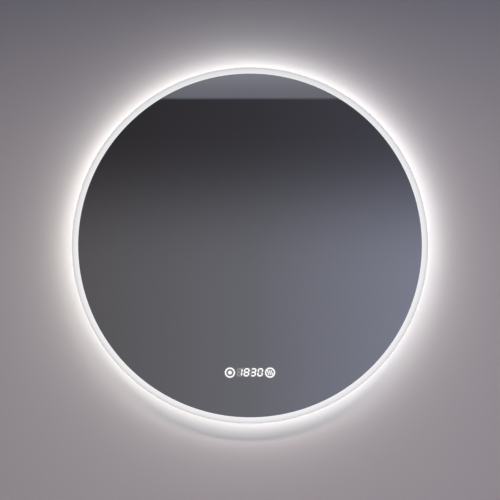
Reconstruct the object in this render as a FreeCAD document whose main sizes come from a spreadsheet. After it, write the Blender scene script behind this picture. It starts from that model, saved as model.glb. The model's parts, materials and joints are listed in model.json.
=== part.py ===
"""Round wall mirror with a lit opal rim, a touch-and-clock module and a demister pad.

Everything is drawn in wall coordinates and then stood up in the row frame. In wall coordinates the
origin is the centre of the glass disc on the wall plane, x runs right and y runs up as seen by someone
who looks into the mirror, and z is the distance out from the wall. In the row frame the mirror faces -Y,
+Z is up, and the origin is the middle of the wall rail's screw line on the wall.
All lengths are millimetres.
"""

import FreeCAD
import Part

import math
import os

import Sketcher

Vector = FreeCAD.Vector

# ---------------------------------------------------------------------------------------------- sizes

SIZE_TABLE = [
    # the whole mirror
    ("overall_diameter", 600.0, "outside of the opal rim"),
    ("overall_depth", 45.0, "wall surface to the front of the glass"),
    ("wall_gap", 10.0, "wall surface to the back of the pan"),
    # glass and rim
    ("rim_face", 10.5, "width of the lit ring that shows round the glass"),
    ("glass_thickness", 5.0, "float glass"),
    ("glass_arris", 0.8, "polished chamfer on the front edge of the glass"),
    ("glass_proud", 1.0, "glass front ahead of the rim's front"),
    ("glass_side_gap", 0.4, "glass edge to the rebate it lies in"),
    ("rim_wall", 3.0, "side wall of the opal rim"),
    ("ledge_thickness", 3.0, "rim ledge behind the glass"),
    ("ledge_width", 13.0, "how far the ledge reaches behind the glass"),
    ("rim_round", 2.2, "rounding of the rim's outer front edge"),
    ("tape_thickness", 1.0, "foam tape that holds the glass"),
    ("tape_width", 8.5, "foam tape, across the ledge"),
    ("tape_length", 46.0, "one strip of foam tape"),
    ("tape_count", 16, "strips of foam tape round the ledge"),
    # pan
    ("pan_sheet", 1.0, "pressed steel of the pan"),
    ("flange_lap", 8.0, "pan flange behind the rim ledge"),
    ("flange_reach", 16.0, "pan flange, wall to edge"),
    ("bead_inset", 22.0, "pressed ring in the pan's floor to the pan's wall"),
    ("bead_width", 14.0, "pressed ring in the pan's floor"),
    ("bead_height", 2.0, "pressed ring in the pan's floor, towards the wall"),
    ("vent_length", 34.0, "air slot"),
    ("vent_width", 5.0, "air slot"),
    ("vent_pitch", 12.0, "air slot to air slot"),
    ("vent_count", 9, "air slots in a group"),
    ("upper_vent_y", 92.0, "upper group of air slots above the centre"),
    ("lower_vent_y", 98.0, "lower group of air slots below the centre"),
    # light strip
    ("strip_width", 10.0, "flexible board of the light strip"),
    ("strip_thickness", 0.4, "flexible board of the light strip"),
    ("strip_glue", 0.15, "glue film between the strip and the pan"),
    ("strip_gap", 10.0, "gap between the two ends of the strip"),
    ("led_count", 61, "light packages on the strip, an odd number, so that none falls in the gap"),
    ("led_length", 5.0, "package, along the strip"),
    ("led_width", 5.0, "package, across the strip"),
    ("led_height", 1.4, "package, off the strip"),
    ("joint_depth", 3.0, "cap over the solder joint of the strip"),
    ("joint_width", 7.0, "cap over the solder joint, across the strip"),
    ("joint_play", 0.6, "cap to the ends of the strip"),
    ("bush_wall", 1.6, "rubber bush round the strip lead"),
    ("bush_flange", 1.6, "rubber bush over the edge of its hole"),
    ("bush_play", 0.3, "rubber bush to the pan"),
    # wall rail and hook rail
    ("rail_sheet", 2.0, "steel of both rails"),
    ("rail_length", 240.0, "wall rail"),
    ("rail_below", 14.0, "wall rail below its screw line"),
    ("rail_above", 12.0, "wall rail's seat above its screw line"),
    ("slot_depth", 4.6, "wall to the back of the wall rail's lip"),
    ("lip_height", 12.0, "wall rail's lip above its seat"),
    ("bend_inner", 0.6, "inner radius of a bend"),
    ("hook_length", 200.0, "hook rail on the mirror"),
    ("hook_wall_gap", 1.6, "wall to the hook rail's lip"),
    ("hook_headroom", 2.0, "top of the wall rail's lip to the hook rail's web"),
    ("hook_base", 24.0, "hook rail's base above its web"),
    ("hook_clearance", 16.0, "upper corners of the hook rail to the pressed ring"),
    ("fixing_radius", 2.75, "wall screw holes"),
    ("fixing_slot", 14.0, "outer wall screw holes, end to end"),
    ("slot_spacing", 200.0, "slotted wall screw holes, middle to middle"),
    ("hole_spacing", 120.0, "round wall screw holes, middle to middle"),
    # stiffeners and bumpers
    ("hat_sheet", 1.2, "folded stiffeners inside the pan"),
    ("hat_height", 12.0, "stiffener off the pan"),
    ("hat_crown", 20.0, "stiffener's crown"),
    ("hat_flange", 9.0, "stiffener's side flanges"),
    ("upper_hat_length", 220.0, "upper stiffener"),
    ("lower_hat_length", 300.0, "lower stiffener"),
    ("lower_hat_y", 150.0, "lower stiffener below the centre"),
    ("bumper_spacing", 240.0, "rubber bumper to rubber bumper"),
    ("bumper_radius", 10.0, "rubber bumper"),
    # screws
    ("screw_shank", 1.5, "radius of the M3 screws"),
    ("screw_head", 2.8, "radius of their heads"),
    ("screw_head_height", 1.8, "height of their heads"),
    ("screw_length", 6.0, "M3 screw under its head"),
    ("thread_play", 0.06, "screw to the hole it turns into"),
    ("hole_play", 0.3, "screw to a clearance hole"),
    # mains entry
    ("box_x", 60.0, "terminal box right of the centre"),
    ("box_length", 72.0, "terminal box"),
    ("box_width", 58.0, "terminal box"),
    ("box_height", 22.0, "terminal box off the pan"),
    ("box_wall", 2.0, "terminal box"),
    ("box_corner", 4.0, "corner bevel of the terminal box"),
    ("opening_margin", 6.0, "opening in the pan inside the terminal box's wall"),
    ("plate_lap", 8.0, "access plate over the edge of the opening"),
    ("plate_sheet", 1.0, "access plate"),
    ("plate_corner", 4.0, "corner bevel of the access plate"),
    ("tongue_width", 20.0, "tongue of the access plate that hooks behind the pan"),
    ("tongue_lap", 5.0, "tongue behind the pan"),
    ("tongue_play", 0.3, "tongue to the pan"),
    ("cable_radius", 4.0, "bore of the cable grommet"),
    ("grommet_wall", 1.8, "rubber between the bore and the access plate"),
    ("grommet_lip", 2.0, "grommet's lip over the access plate"),
    ("grommet_lip_height", 1.8, "grommet's lip off the access plate"),
    ("grommet_inside", 4.0, "grommet beyond the access plate"),
    ("grommet_play", 0.1, "grommet to the access plate"),
    ("block_gap", 5.5, "terminal block to the end wall of its box"),
    ("block_poles", 3, "poles of the terminal block"),
    ("block_pitch", 9.0, "pole to pole"),
    ("block_depth", 20.0, "terminal block, along its wires"),
    ("block_height", 12.0, "terminal block off the floor of its box"),
    ("block_step", 5.0, "barriers between the poles"),
    ("block_barrier", 2.0, "barriers between the poles, across"),
    ("clamp_end_gap", 3.0, "cord clamp to the end wall of the terminal box"),
    ("clamp_side_gap", 4.0, "cord clamp to the side wall of the terminal box"),
    ("clamp_length", 26.0, "cord clamp bar"),
    ("clamp_width", 8.0, "cord clamp bar and its posts"),
    ("clamp_post", 9.0, "posts of the terminal box under the cord clamp bar"),
    ("clamp_bar", 3.0, "cord clamp bar"),
    # light driver
    ("driver_x", 85.0, "light driver left of the centre"),
    ("driver_length", 140.0, "light driver"),
    ("driver_width", 42.0, "light driver"),
    ("driver_height", 20.0, "light driver off its tape"),
    ("driver_bevel", 1.5, "edges of the light driver"),
    ("driver_tape", 1.0, "foam tape under the light driver"),
    ("driver_tape_inset", 6.0, "foam tape inside the edges of the light driver"),
    # touch and clock module
    ("module_rise", 74.5, "middle of the touch and clock module above the foot of the glass"),
    ("module_end", 7.3, "touch and clock module beyond its light guides"),
    ("module_width", 32.0, "touch and clock module"),
    ("module_depth", 11.0, "touch and clock module, gasket to lid"),
    ("module_wall", 1.5, "touch and clock module"),
    ("module_corner", 3.0, "corner bevel of the module"),
    ("module_foam", 1.0, "gasket between the glass and the module"),
    ("guide_size", 18.0, "light guide behind a touch key"),
    ("guide_gap", 1.4, "light guide to the clock display"),
    ("guide_play", 0.3, "light guides and clock display to the parts round them"),
    ("digit_pitch", 11.5, "clock digit to clock digit"),
    ("digit_count", 4, "clock digits"),
    ("digit_width", 7.0, "clock digit, middle of its uprights"),
    ("digit_height", 12.4, "clock digit, middle of its top and bottom bars"),
    ("digit_bar", 1.7, "bar of a clock digit"),
    ("digit_well", 0.6, "depth of the light wells of the digits"),
    ("digit_slant", 0.12, "lean of the digits, across over up"),
    ("display_end", 0.3, "clock display beyond the room of its digits, at each end"),
    ("display_margin", 1.75, "clock display above and below its digits"),
    ("display_depth", 7.0, "clock display"),
    ("board_thickness", 1.6, "circuit board of the module"),
    ("board_play", 0.5, "circuit board to the module's wall"),
    ("lid_thickness", 1.5, "module lid"),
    ("socket_x", 35.0, "plug socket right of the middle of the module"),
    ("socket_length", 10.0, "plug socket of the module"),
    ("socket_width", 7.0, "plug socket of the module"),
    ("socket_depth", 5.5, "plug socket behind the circuit board"),
    ("plug_depth", 6.0, "plug behind its socket"),
    # demister
    ("pad_length", 320.0, "demister pad"),
    ("pad_width", 230.0, "demister pad"),
    ("pad_thickness", 0.4, "demister pad"),
    ("pad_corner", 22.0, "corner bevel of the demister pad"),
    ("pad_y", 38.0, "demister pad above the centre"),
    ("tab_x", 18.0, "terminal tab right of the middle of the terminal box"),
    ("tab_y", 70.0, "terminal tab above the centre"),
    ("tab_length", 26.0, "terminal tab"),
    ("tab_width", 16.0, "terminal tab"),
    ("tab_height", 4.0, "terminal tab"),
    # leads
    ("lead_width", 4.4, "flat two-core leads"),
    ("lead_thickness", 2.2, "flat two-core leads"),
    ("lead_play", 0.1, "lead to what it passes through"),
    ("lead_inside", 2.0, "end of a lead inside the wall that it passes through"),
    ("clip_length", 8.0, "lead clips, along the lead"),
    ("clip_wall", 1.2, "lead clips round the lead"),
]

SHEET_NAME = "Sizes"


class Size:
    """A length, with the sheet formula that gives it, so that features can be bound to the sheet."""

    def __init__(self, number, formula):
        self.number = float(number)
        self.formula = formula

    def joined(self, sign, other, number):
        """The size that a sum or product of this one and another gives."""
        return Size(number, f"({self.formula} {sign} {as_size(other).formula})")

    def __add__(self, other):
        return self.joined("+", other, self.number + as_size(other).number)

    def __sub__(self, other):
        return self.joined("-", other, self.number - as_size(other).number)

    def __mul__(self, other):
        return self.joined("*", other, self.number * as_size(other).number)

    def __truediv__(self, other):
        return self.joined("/", other, self.number / as_size(other).number)

    def __neg__(self):
        return Size(-self.number, f"(0 - {self.formula})")


def as_size(value):
    """A plain number as a Size."""
    return value if isinstance(value, Size) else Size(value, repr(float(value)))


def root(size):
    """The square root of a size."""
    return Size(math.sqrt(size.number), f"sqrt({size.formula})")


def numbers(*sizes):
    """The numbers of several sizes."""
    return [as_size(size).number for size in sizes]


doc = FreeCAD.newDocument("RoundLitMirror")
sheet = doc.addObject("Spreadsheet::Sheet", SHEET_NAME)
for row, (alias, value, meaning) in enumerate(SIZE_TABLE, start=1):
    sheet.set(f"A{row}", alias)
    sheet.set(f"B{row}", str(value))
    sheet.set(f"C{row}", meaning)
    sheet.setAlias(f"B{row}", alias)
doc.recompute()


class Sizes:
    """The sheet's cells by name: S.overall_diameter is the Size of that cell."""

    def __getattr__(self, alias):
        return Size(sheet.get(alias), f"{SHEET_NAME}.{alias}")

    def count(self, alias):
        """A cell that counts things, as a whole number."""
        return int(round(sheet.get(alias)))


S = Sizes()
ZERO = as_size(0)
FULL_TURN = as_size(360)

# -------------------------------------------------------------------- places worked out from the sizes

RIM_RADIUS = S.overall_diameter / 2
GLASS_RADIUS = RIM_RADIUS - S.rim_face
LEDGE_RADIUS = GLASS_RADIUS - S.ledge_width
FLANGE_RADIUS = LEDGE_RADIUS + S.flange_lap
PAN_RADIUS = FLANGE_RADIUS - S.flange_reach
PAN_INSIDE = PAN_RADIUS - S.pan_sheet
BEAD_OUTSIDE = PAN_RADIUS - S.bead_inset
BEAD_INSIDE = BEAD_OUTSIDE - S.bead_width

GLASS_BACK = S.overall_depth - S.glass_thickness
RIM_FRONT = S.overall_depth - S.glass_proud
LEDGE_FRONT = GLASS_BACK - S.tape_thickness
LEDGE_BACK = LEDGE_FRONT - S.ledge_thickness
PAN_BACK = S.wall_gap
PAN_FLOOR = PAN_BACK + S.pan_sheet
STRIP_MIDDLE = (PAN_FLOOR + LEDGE_BACK) / 2
STRIP_INSIDE = PAN_RADIUS + S.strip_glue
STRIP_RADIUS = STRIP_INSIDE + S.strip_thickness
STRIP_ARC = FULL_TURN - S.strip_gap / PAN_RADIUS * math.degrees(1)

LIP_FRONT = S.slot_depth + S.rail_sheet
HOOK_SEAT = S.rail_above
HOOK_WEB = S.rail_above + S.lip_height + S.hook_headroom
HOOK_TOP = HOOK_WEB + S.rail_sheet + S.hook_base
BEND_OUTER = S.bend_inner + S.rail_sheet
HOOK_CORNER = BEAD_INSIDE - S.hook_clearance
HOOK_HALF = S.hook_length / 2
CENTRE_DROP = root(HOOK_CORNER * HOOK_CORNER - HOOK_HALF * HOOK_HALF) - HOOK_TOP

HAT_HALF = S.hat_crown / 2 + S.hat_flange
HAT_CROWN_Z = PAN_FLOOR + S.hat_height
UPPER_HAT_Y = CENTRE_DROP + HOOK_TOP - HAT_HALF
LOWER_HAT_Y = -S.lower_hat_y

BOX_AT = (S.box_x, ZERO)
BOX_FLOOR = PAN_FLOOR + S.box_height - S.box_wall
OPENING_LENGTH = S.box_length - (S.box_wall + S.opening_margin) * 2
OPENING_WIDTH = S.box_width - (S.box_wall + S.opening_margin) * 2
PLATE_BACK = PAN_BACK - S.plate_sheet
PLATE_SCREW_X = OPENING_LENGTH / 2 + S.plate_lap / 2
GROMMET_RADIUS = S.cable_radius + S.grommet_wall
BOX_END = S.box_length / 2 - S.box_wall
BOX_SIDE = S.box_width / 2 - S.box_wall
CLAMP_X = S.clamp_end_gap + S.clamp_length / 2 - BOX_END
CLAMP_Y = BOX_SIDE - S.clamp_side_gap - S.clamp_width / 2
BLOCK_LENGTH = S.block_pitch * S.count("block_poles") + S.block_barrier
BLOCK_X = BOX_END - S.block_gap - BLOCK_LENGTH / 2

DRIVER_AT = (-S.driver_x, ZERO)
DRIVER_BACK = PAN_FLOOR + S.driver_tape
OUTLET_Z = DRIVER_BACK + S.driver_height / 2

MODULE_AT = (ZERO, S.module_rise - GLASS_RADIUS)
MODULE_FRONT = GLASS_BACK - S.module_foam
MODULE_BACK = MODULE_FRONT - S.module_depth
DISPLAY_LENGTH = S.digit_pitch * S.count("digit_count") + S.display_end * 2
DISPLAY_WIDTH = S.digit_height + S.digit_bar + S.display_margin * 2
TOUCH_X = DISPLAY_LENGTH / 2 + S.guide_gap + S.guide_size / 2
MODULE_LENGTH = (TOUCH_X + S.guide_size / 2 + S.module_end) * 2
DISPLAY_BACK = MODULE_FRONT - S.display_depth
BOARD_BACK = DISPLAY_BACK - S.board_thickness
SOCKET_BACK = BOARD_BACK - S.socket_depth
PLUG_BACK = SOCKET_BACK - S.plug_depth
SOCKET_AT = (MODULE_AT[0] + S.socket_x, MODULE_AT[1])

TAB_AT = (S.box_x + S.tab_x, S.tab_y)
TAB_FRONT = GLASS_BACK - S.pad_thickness

CLEAR_HOLE = S.screw_shank + S.hole_play
THREAD_HOLE = S.screw_shank + S.thread_play
EYE_WIDTH = S.lead_width + S.lead_play * 2
EYE_HEIGHT = S.lead_thickness + S.lead_play * 2
CLIP_RISE = S.clip_wall + EYE_HEIGHT / 2

nodes = []


# ------------------------------------------------------------------------------------ drawing helpers


def stand_up(part, at=(ZERO, ZERO)):
    """Places a piece drawn in wall coordinates in the row frame, with its own origin at the point at."""
    across, up = at
    up = up - CENTRE_DROP
    part.Placement = FreeCAD.Placement(
        Vector(across.number, 0, up.number), FreeCAD.Rotation(Vector(1, 0, 0), 90)
    )
    part.setExpression(".Placement.Base.x", across.formula)
    part.setExpression(".Placement.Base.z", up.formula)
    nodes.append(part)
    return part


def new_body(label, at=(ZERO, ZERO)):
    """An empty body in wall coordinates, with its own origin at the point at."""
    body = doc.addObject("PartDesign::Body", label)
    body.Label = label
    body.AllowCompound = True
    return stand_up(body, at)


def origin_feature(body, role):
    """One of the body's own origin planes or axes."""
    return next(f for f in body.Origin.OriginFeatures if f.Role == role)


def new_sketch(body, plane, offset=None):
    """An empty sketch on a plane of the body: XY is seen from the front, XZ holds a radius and a distance
    from the wall, and YZ holds a height and a distance from the wall. Offset moves it along its normal."""
    sketch = body.newObject("Sketcher::SketchObject", body.Label + "_sketch")
    sketch.AttachmentSupport = [(origin_feature(body, plane + "_Plane"), "")]
    sketch.MapMode = "FlatFace"
    if offset is not None:
        sketch.AttachmentOffset = FreeCAD.Placement(
            Vector(0, 0, offset.number), FreeCAD.Rotation()
        )
        sketch.setExpression(".AttachmentOffset.Base.z", offset.formula)
    return sketch


def pin_point(sketch, geometry, point, x, y):
    """Binds a point of the sketch to two sizes."""
    for kind, size in (("DistanceX", x), ("DistanceY", y)):
        made = Sketcher.Constraint(kind, -1, 1, geometry, point, size.number)
        index = sketch.addConstraint(made)
        sketch.setExpression(f"Constraints[{index}]", size.formula)


def pin_radius(sketch, geometry, radius):
    """Binds the radius of a circle or arc to a size."""
    index = sketch.addConstraint(
        Sketcher.Constraint("Radius", geometry, radius.number)
    )
    sketch.setExpression(f"Constraints[{index}]", radius.formula)


def draw_outline(sketch, corners):
    """A closed outline of straight lines through corners, each a pair of sizes."""
    corners = [(as_size(x), as_size(y)) for x, y in corners]
    lines = []
    for start, end in zip(corners, corners[1:] + corners[:1]):
        ends = [Vector(*numbers(*corner), 0) for corner in (start, end)]
        lines.append(sketch.addGeometry(Part.LineSegment(*ends), False))
    for line, following in zip(lines, lines[1:] + lines[:1]):
        sketch.addConstraint(Sketcher.Constraint("Coincident", line, 2, following, 1))
    for line, (x, y) in zip(lines, corners):
        pin_point(sketch, line, 1, x, y)


def draw_rectangle(sketch, length, width, x=ZERO, y=ZERO):
    """A rectangle with its middle at x, y."""
    left, right = x - length / 2, x + length / 2
    low, high = y - width / 2, y + width / 2
    draw_outline(sketch, [(left, low), (right, low), (right, high), (left, high)])


def draw_circle(sketch, radius, x=ZERO, y=ZERO):
    """A circle with its middle at x, y."""
    middle = Vector(*numbers(x, y), 0)
    circle = Part.Circle(middle, Vector(0, 0, 1), radius.number)
    index = sketch.addGeometry(circle, False)
    pin_point(sketch, index, 3, x, y)
    pin_radius(sketch, index, radius)


def draw_slot(sketch, length, radius, x, y):
    """A level slot with round ends, length from end to end, with its middle at x, y."""
    reach = length / 2 - radius
    left, right = (x - reach, y), (x + reach, y)
    start, end = (Vector(*numbers(*middle), 0) for middle in (left, right))
    side, tip = Vector(0, radius.number, 0), Vector(radius.number, 0, 0)
    left_arc, lower_line, right_arc, upper_line = (
        sketch.addGeometry(piece, False)
        for piece in (
            Part.Arc(start + side, start - tip, start - side),
            Part.LineSegment(start - side, end - side),
            Part.Arc(end - side, end + tip, end + side),
            Part.LineSegment(end + side, start + side),
        )
    )
    pin_point(sketch, left_arc, 3, *left)
    pin_point(sketch, right_arc, 3, *right)
    for joined in (
        (left_arc, 2, lower_line, 1),
        (lower_line, 2, right_arc, 1),
        (right_arc, 2, upper_line, 1),
        (upper_line, 2, left_arc, 1),
    ):
        sketch.addConstraint(Sketcher.Constraint("Tangent", *joined))
    pin_radius(sketch, left_arc, radius)
    pin_radius(sketch, right_arc, radius)


def pad(body, sketch, length):
    """Adds the sketch's outline, length along its normal."""
    feature = body.newObject("PartDesign::Pad", body.Label + "_pad")
    feature.Profile = sketch
    feature.setExpression("Length", length.formula)
    doc.recompute()
    return feature


def pocket(body, sketch, depth):
    """Cuts the sketch's outline, depth along its normal, and checks that it cut."""
    before = body.Shape.Volume
    feature = body.newObject("PartDesign::Pocket", body.Label + "_pocket")
    feature.Profile = sketch
    feature.setExpression("Length", depth.formula)
    feature.Reversed = True
    doc.recompute()
    if not body.Shape.Volume < before:
        raise RuntimeError(f"{feature.Label} cuts nothing")
    return feature


def revolve(body, sketch):
    """Turns the sketch's outline once round the axis of the disc or screw."""
    feature = body.newObject("PartDesign::Revolution", body.Label + "_turned")
    feature.Profile = sketch
    feature.ReferenceAxis = (sketch, ["V_Axis"])
    feature.Angle = 360
    doc.recompute()
    return feature


def pattern(body, kind, feature, **settings):
    """Repeats a feature, and makes the pattern the body's last feature."""
    repeated = body.newObject("PartDesign::" + kind, body.Label + "_" + kind.lower())
    repeated.Originals = [feature]
    for name, value in settings.items():
        if isinstance(value, Size):
            repeated.setExpression(name, value.formula)
        else:
            setattr(repeated, name, value)
    body.Tip = repeated
    doc.recompute()
    return repeated


def round_the_axis(body, feature, count):
    """Repeats a feature count times round the disc's axis."""
    axis = (origin_feature(body, "Z_Axis"), [""])
    return pattern(
        body, "PolarPattern", feature, Axis=axis, Angle=360, Occurrences=count
    )


def in_a_row(body, feature, count, pitch):
    """Repeats a feature count times along x, pitch apart."""
    direction = (origin_feature(body, "X_Axis"), [""])
    return pattern(
        body,
        "LinearPattern",
        feature,
        Direction=direction,
        Mode="Spacing",
        Offset=pitch,
        Occurrences=count,
    )


def soften(body, kind, size, chosen):
    """Rounds (Fillet) or bevels (Chamfer) the edges of the body that chosen(edge) picks."""
    base = body.Tip
    names = [
        f"Edge{number}"
        for number, edge in enumerate(base.Shape.Edges, start=1)
        if chosen(edge)
    ]
    if not names:
        raise RuntimeError(f"{body.Label} has no edge to soften")
    feature = body.newObject("PartDesign::" + kind, body.Label + "_" + kind.lower())
    feature.Base = (base, names)
    feature.setExpression("Radius" if kind == "Fillet" else "Size", size.formula)
    doc.recompute()
    return feature


def on_ring(radius, height):
    """Picks the circular edges of that radius at that distance from the wall."""

    def chosen(edge):
        curve = edge.Curve
        return (
            isinstance(curve, Part.Circle)
            and abs(curve.Radius - radius.number) < 1e-4
            and abs(curve.Center.z - height.number) < 1e-4
        )

    return chosen


def along(axis):
    """Picks the straight edges that run along x, y or z."""

    def chosen(edge):
        if not isinstance(edge.Curve, Part.Line):
            return False
        return abs(abs(getattr(edge.Curve.Direction, axis)) - 1) < 1e-6

    return chosen


def all_at(height):
    """Picks the edges that lie wholly at that distance from the wall."""

    def chosen(edge):
        return all(abs(v.Point.z - height.number) < 1e-4 for v in edge.Vertexes)

    return chosen


def bend_at(up, out):
    """Picks the edge of a folded section that runs along x at that height and distance from the wall."""
    lengthwise = along("x")

    def chosen(edge):
        if not lengthwise(edge):
            return False
        point = edge.Vertexes[0].Point
        return abs(point.y - up.number) < 1e-4 and abs(point.z - out.number) < 1e-4

    return chosen


def plate(label, length, width, back, thickness, at):
    """A flat piece parallel to the wall."""
    body = new_body(label, at)
    sketch = new_sketch(body, "XY", back)
    draw_rectangle(sketch, length, width)
    pad(body, sketch, thickness)
    return body


def folded(label, at, length, section):
    """A folded sheet with a constant section of (height, distance from the wall), length along x."""
    body = new_body(label, at)
    sketch = new_sketch(body, "YZ", -(length / 2))
    draw_outline(sketch, section)
    pad(body, sketch, length)
    return body


def turned(label, section, at=(ZERO, ZERO), across=ZERO):
    """A piece turned round an axis square to the wall, from a section of (radius, distance from the wall).
    The axis stands at the point at, moved by across along x."""
    body = new_body(label, (at[0] + across, at[1]))
    sketch = new_sketch(body, "XZ")
    draw_outline(sketch, section)
    revolve(body, sketch)
    return body


def screw_section(seat):
    """Half section of an M3 screw that goes in from the wall side, its head seated at seat."""
    end = seat + S.screw_length
    return [
        (ZERO, seat - S.screw_head_height),
        (S.screw_head, seat - S.screw_head_height),
        (S.screw_head, seat),
        (S.screw_shank, seat),
        (S.screw_shank, end),
        (ZERO, end),
    ]


def in_places(label, section, places):
    """Turned pieces with one section at several places, each a pair of sizes, as separate solids of a
    node. The first is a turned feature, and the node holds copies of it moved to their places."""
    master = doc.addObject("PartDesign::Body", label + "_master")
    sketch = new_sketch(master, "XZ")
    draw_outline(sketch, section)
    revolve(master, sketch)
    copies = []
    for x, y in places:
        copy = master.Shape.copy()
        copy.translate(Vector(*numbers(x, y), 0))
        copies.append(copy)
    group = doc.addObject("Part::Feature", label)
    group.Label = label
    group.Shape = Part.makeCompound(copies)
    return stand_up(group)


def row_places(count, pitch, y):
    """Evenly spaced places in a level row about the middle."""
    return [(pitch * (k - (count - 1) / 2), y) for k in range(count)]


def lead(label, points, plane):
    """A flat lead in an XZ or YZ plane, with straight runs joined by arcs as large as the runs allow.
    Each point is a distance along x or y and a distance from the wall, and the plane stands at the size
    that comes with it."""
    kind, offset = plane

    def place(along_plane, out):
        first = numbers(along_plane, out)
        if kind == "XZ":
            return Vector(first[0], offset.number, first[1])
        return Vector(offset.number, *first)

    points = [place(*point) for point in points]
    runs = [b - a for a, b in zip(points, points[1:])]
    edges = []
    radii = []
    start = points[0]
    for corner, before, after in zip(points[1:-1], runs, runs[1:]):
        half_turn = before.getAngle(after) / 2
        reach = 0.45 * min(before.Length, after.Length)
        radius = reach / math.tan(half_turn)
        entry = corner - Vector(before).normalize() * reach
        leave = corner + Vector(after).normalize() * reach
        inward = (Vector(after).normalize() - Vector(before).normalize()).normalize()
        middle = corner + inward * (radius / math.cos(half_turn) - radius)
        edges.append(Part.LineSegment(start, entry).toShape())
        edges.append(Part.Arc(entry, middle, leave).toShape())
        radii.append(radius)
        start = leave
    edges.append(Part.LineSegment(start, points[-1]).toShape())
    path = Part.Wire(edges)
    across = Vector(0, 1, 0) if kind == "XZ" else Vector(1, 0, 0)
    across = across * (S.lead_width.number / 2)
    upward = Vector(across.cross(runs[0])).normalize() * (S.lead_thickness.number / 2)
    corners = [across + upward, across - upward, -across - upward, -across + upward]
    outline = Part.makePolygon([points[0] + c for c in corners + corners[:1]])
    piece = doc.addObject("Part::Feature", label)
    piece.Label = label
    piece.Shape = path.makePipeShell([outline], True, False)
    expected = S.lead_width.number * S.lead_thickness.number * path.Length
    if abs(piece.Shape.Volume / expected - 1) > 0.01:
        raise RuntimeError(f"{label} has the wrong volume")
    print(f"{label}: {path.Length:.0f} mm long, bend radii {[round(r) for r in radii]} mm")
    return stand_up(piece)


# -------------------------------------------------------------------------------- glass and opal rim


def make_glass():
    """Disc of silvered float glass with a polished arris round its front."""
    body = turned(
        "mirror_glass",
        [
            (ZERO, GLASS_BACK),
            (GLASS_RADIUS, GLASS_BACK),
            (GLASS_RADIUS, S.overall_depth),
            (ZERO, S.overall_depth),
        ],
    )
    soften(body, "Chamfer", S.glass_arris, on_ring(GLASS_RADIUS, S.overall_depth))


def make_rim():
    """Opal rim: a side wall that lights the wall, and a rebated front ring with a ledge for the glass.
    Two bevels stand for the rounding of its outer front edge."""
    rebate = GLASS_RADIUS + S.glass_side_gap
    inset = S.rim_round * (1 - math.sqrt(0.5))
    turned(
        "diffuser_rim",
        [
            (RIM_RADIUS, PAN_BACK),
            (RIM_RADIUS, RIM_FRONT - S.rim_round),
            (RIM_RADIUS - inset, RIM_FRONT - inset),
            (RIM_RADIUS - S.rim_round, RIM_FRONT),
            (rebate, RIM_FRONT),
            (rebate, LEDGE_FRONT),
            (LEDGE_RADIUS, LEDGE_FRONT),
            (LEDGE_RADIUS, LEDGE_BACK),
            (RIM_RADIUS - S.rim_wall, LEDGE_BACK),
            (RIM_RADIUS - S.rim_wall, PAN_BACK),
        ],
    )


def make_glass_tape():
    """Strips of foam tape between the ledge and the glass."""
    body = new_body("glass_tape")
    sketch = new_sketch(body, "XY", LEDGE_FRONT)
    middle = LEDGE_RADIUS + S.ledge_width / 2
    draw_rectangle(sketch, S.tape_width, S.tape_length, middle, ZERO)
    round_the_axis(body, pad(body, sketch, S.tape_thickness), S.count("tape_count"))


# -------------------------------------------------------------------------------- pan and light strip


def make_pan():
    """Pressed steel pan: floor with a stiffening ring, air slots and a wiring opening, then the wall and
    the flange under the rim's ledge."""
    low, slope = PAN_BACK - S.bead_height, S.bead_height
    body = turned(
        "back_pan",
        [
            (ZERO, PAN_BACK),
            (BEAD_INSIDE, PAN_BACK),
            (BEAD_INSIDE + slope, low),
            (BEAD_OUTSIDE - slope, low),
            (BEAD_OUTSIDE, PAN_BACK),
            (PAN_RADIUS, PAN_BACK),
            (PAN_RADIUS, LEDGE_BACK - S.pan_sheet),
            (FLANGE_RADIUS, LEDGE_BACK - S.pan_sheet),
            (FLANGE_RADIUS, LEDGE_BACK),
            (PAN_INSIDE, LEDGE_BACK),
            (PAN_INSIDE, PAN_FLOOR),
            (BEAD_OUTSIDE, PAN_FLOOR),
            (BEAD_OUTSIDE - slope, low + S.pan_sheet),
            (BEAD_INSIDE + slope, low + S.pan_sheet),
            (BEAD_INSIDE, PAN_FLOOR),
            (ZERO, PAN_FLOOR),
        ],
    )
    sketch = new_sketch(body, "XY", PAN_BACK)
    draw_rectangle(sketch, OPENING_LENGTH, OPENING_WIDTH, *BOX_AT)
    draw_circle(sketch, THREAD_HOLE, BOX_AT[0] + PLATE_SCREW_X, BOX_AT[1])
    pocket(body, sketch, S.pan_sheet)
    sketch = new_sketch(body, "YZ", -PAN_RADIUS)
    length, height = bush_outside()
    play = S.bush_play / 2
    draw_rectangle(sketch, length + play * 2, height + play * 2, ZERO, STRIP_MIDDLE)
    pocket(body, sketch, S.pan_sheet * 2)
    sketch = new_sketch(body, "XY", PAN_BACK)
    vents = S.count("vent_count")
    first = -(S.vent_pitch * ((vents - 1) / 2))
    for y in (S.upper_vent_y, -S.lower_vent_y):
        draw_rectangle(sketch, S.vent_width, S.vent_length, first, y)
    in_a_row(body, pocket(body, sketch, S.pan_sheet), vents, S.vent_pitch)


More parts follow.
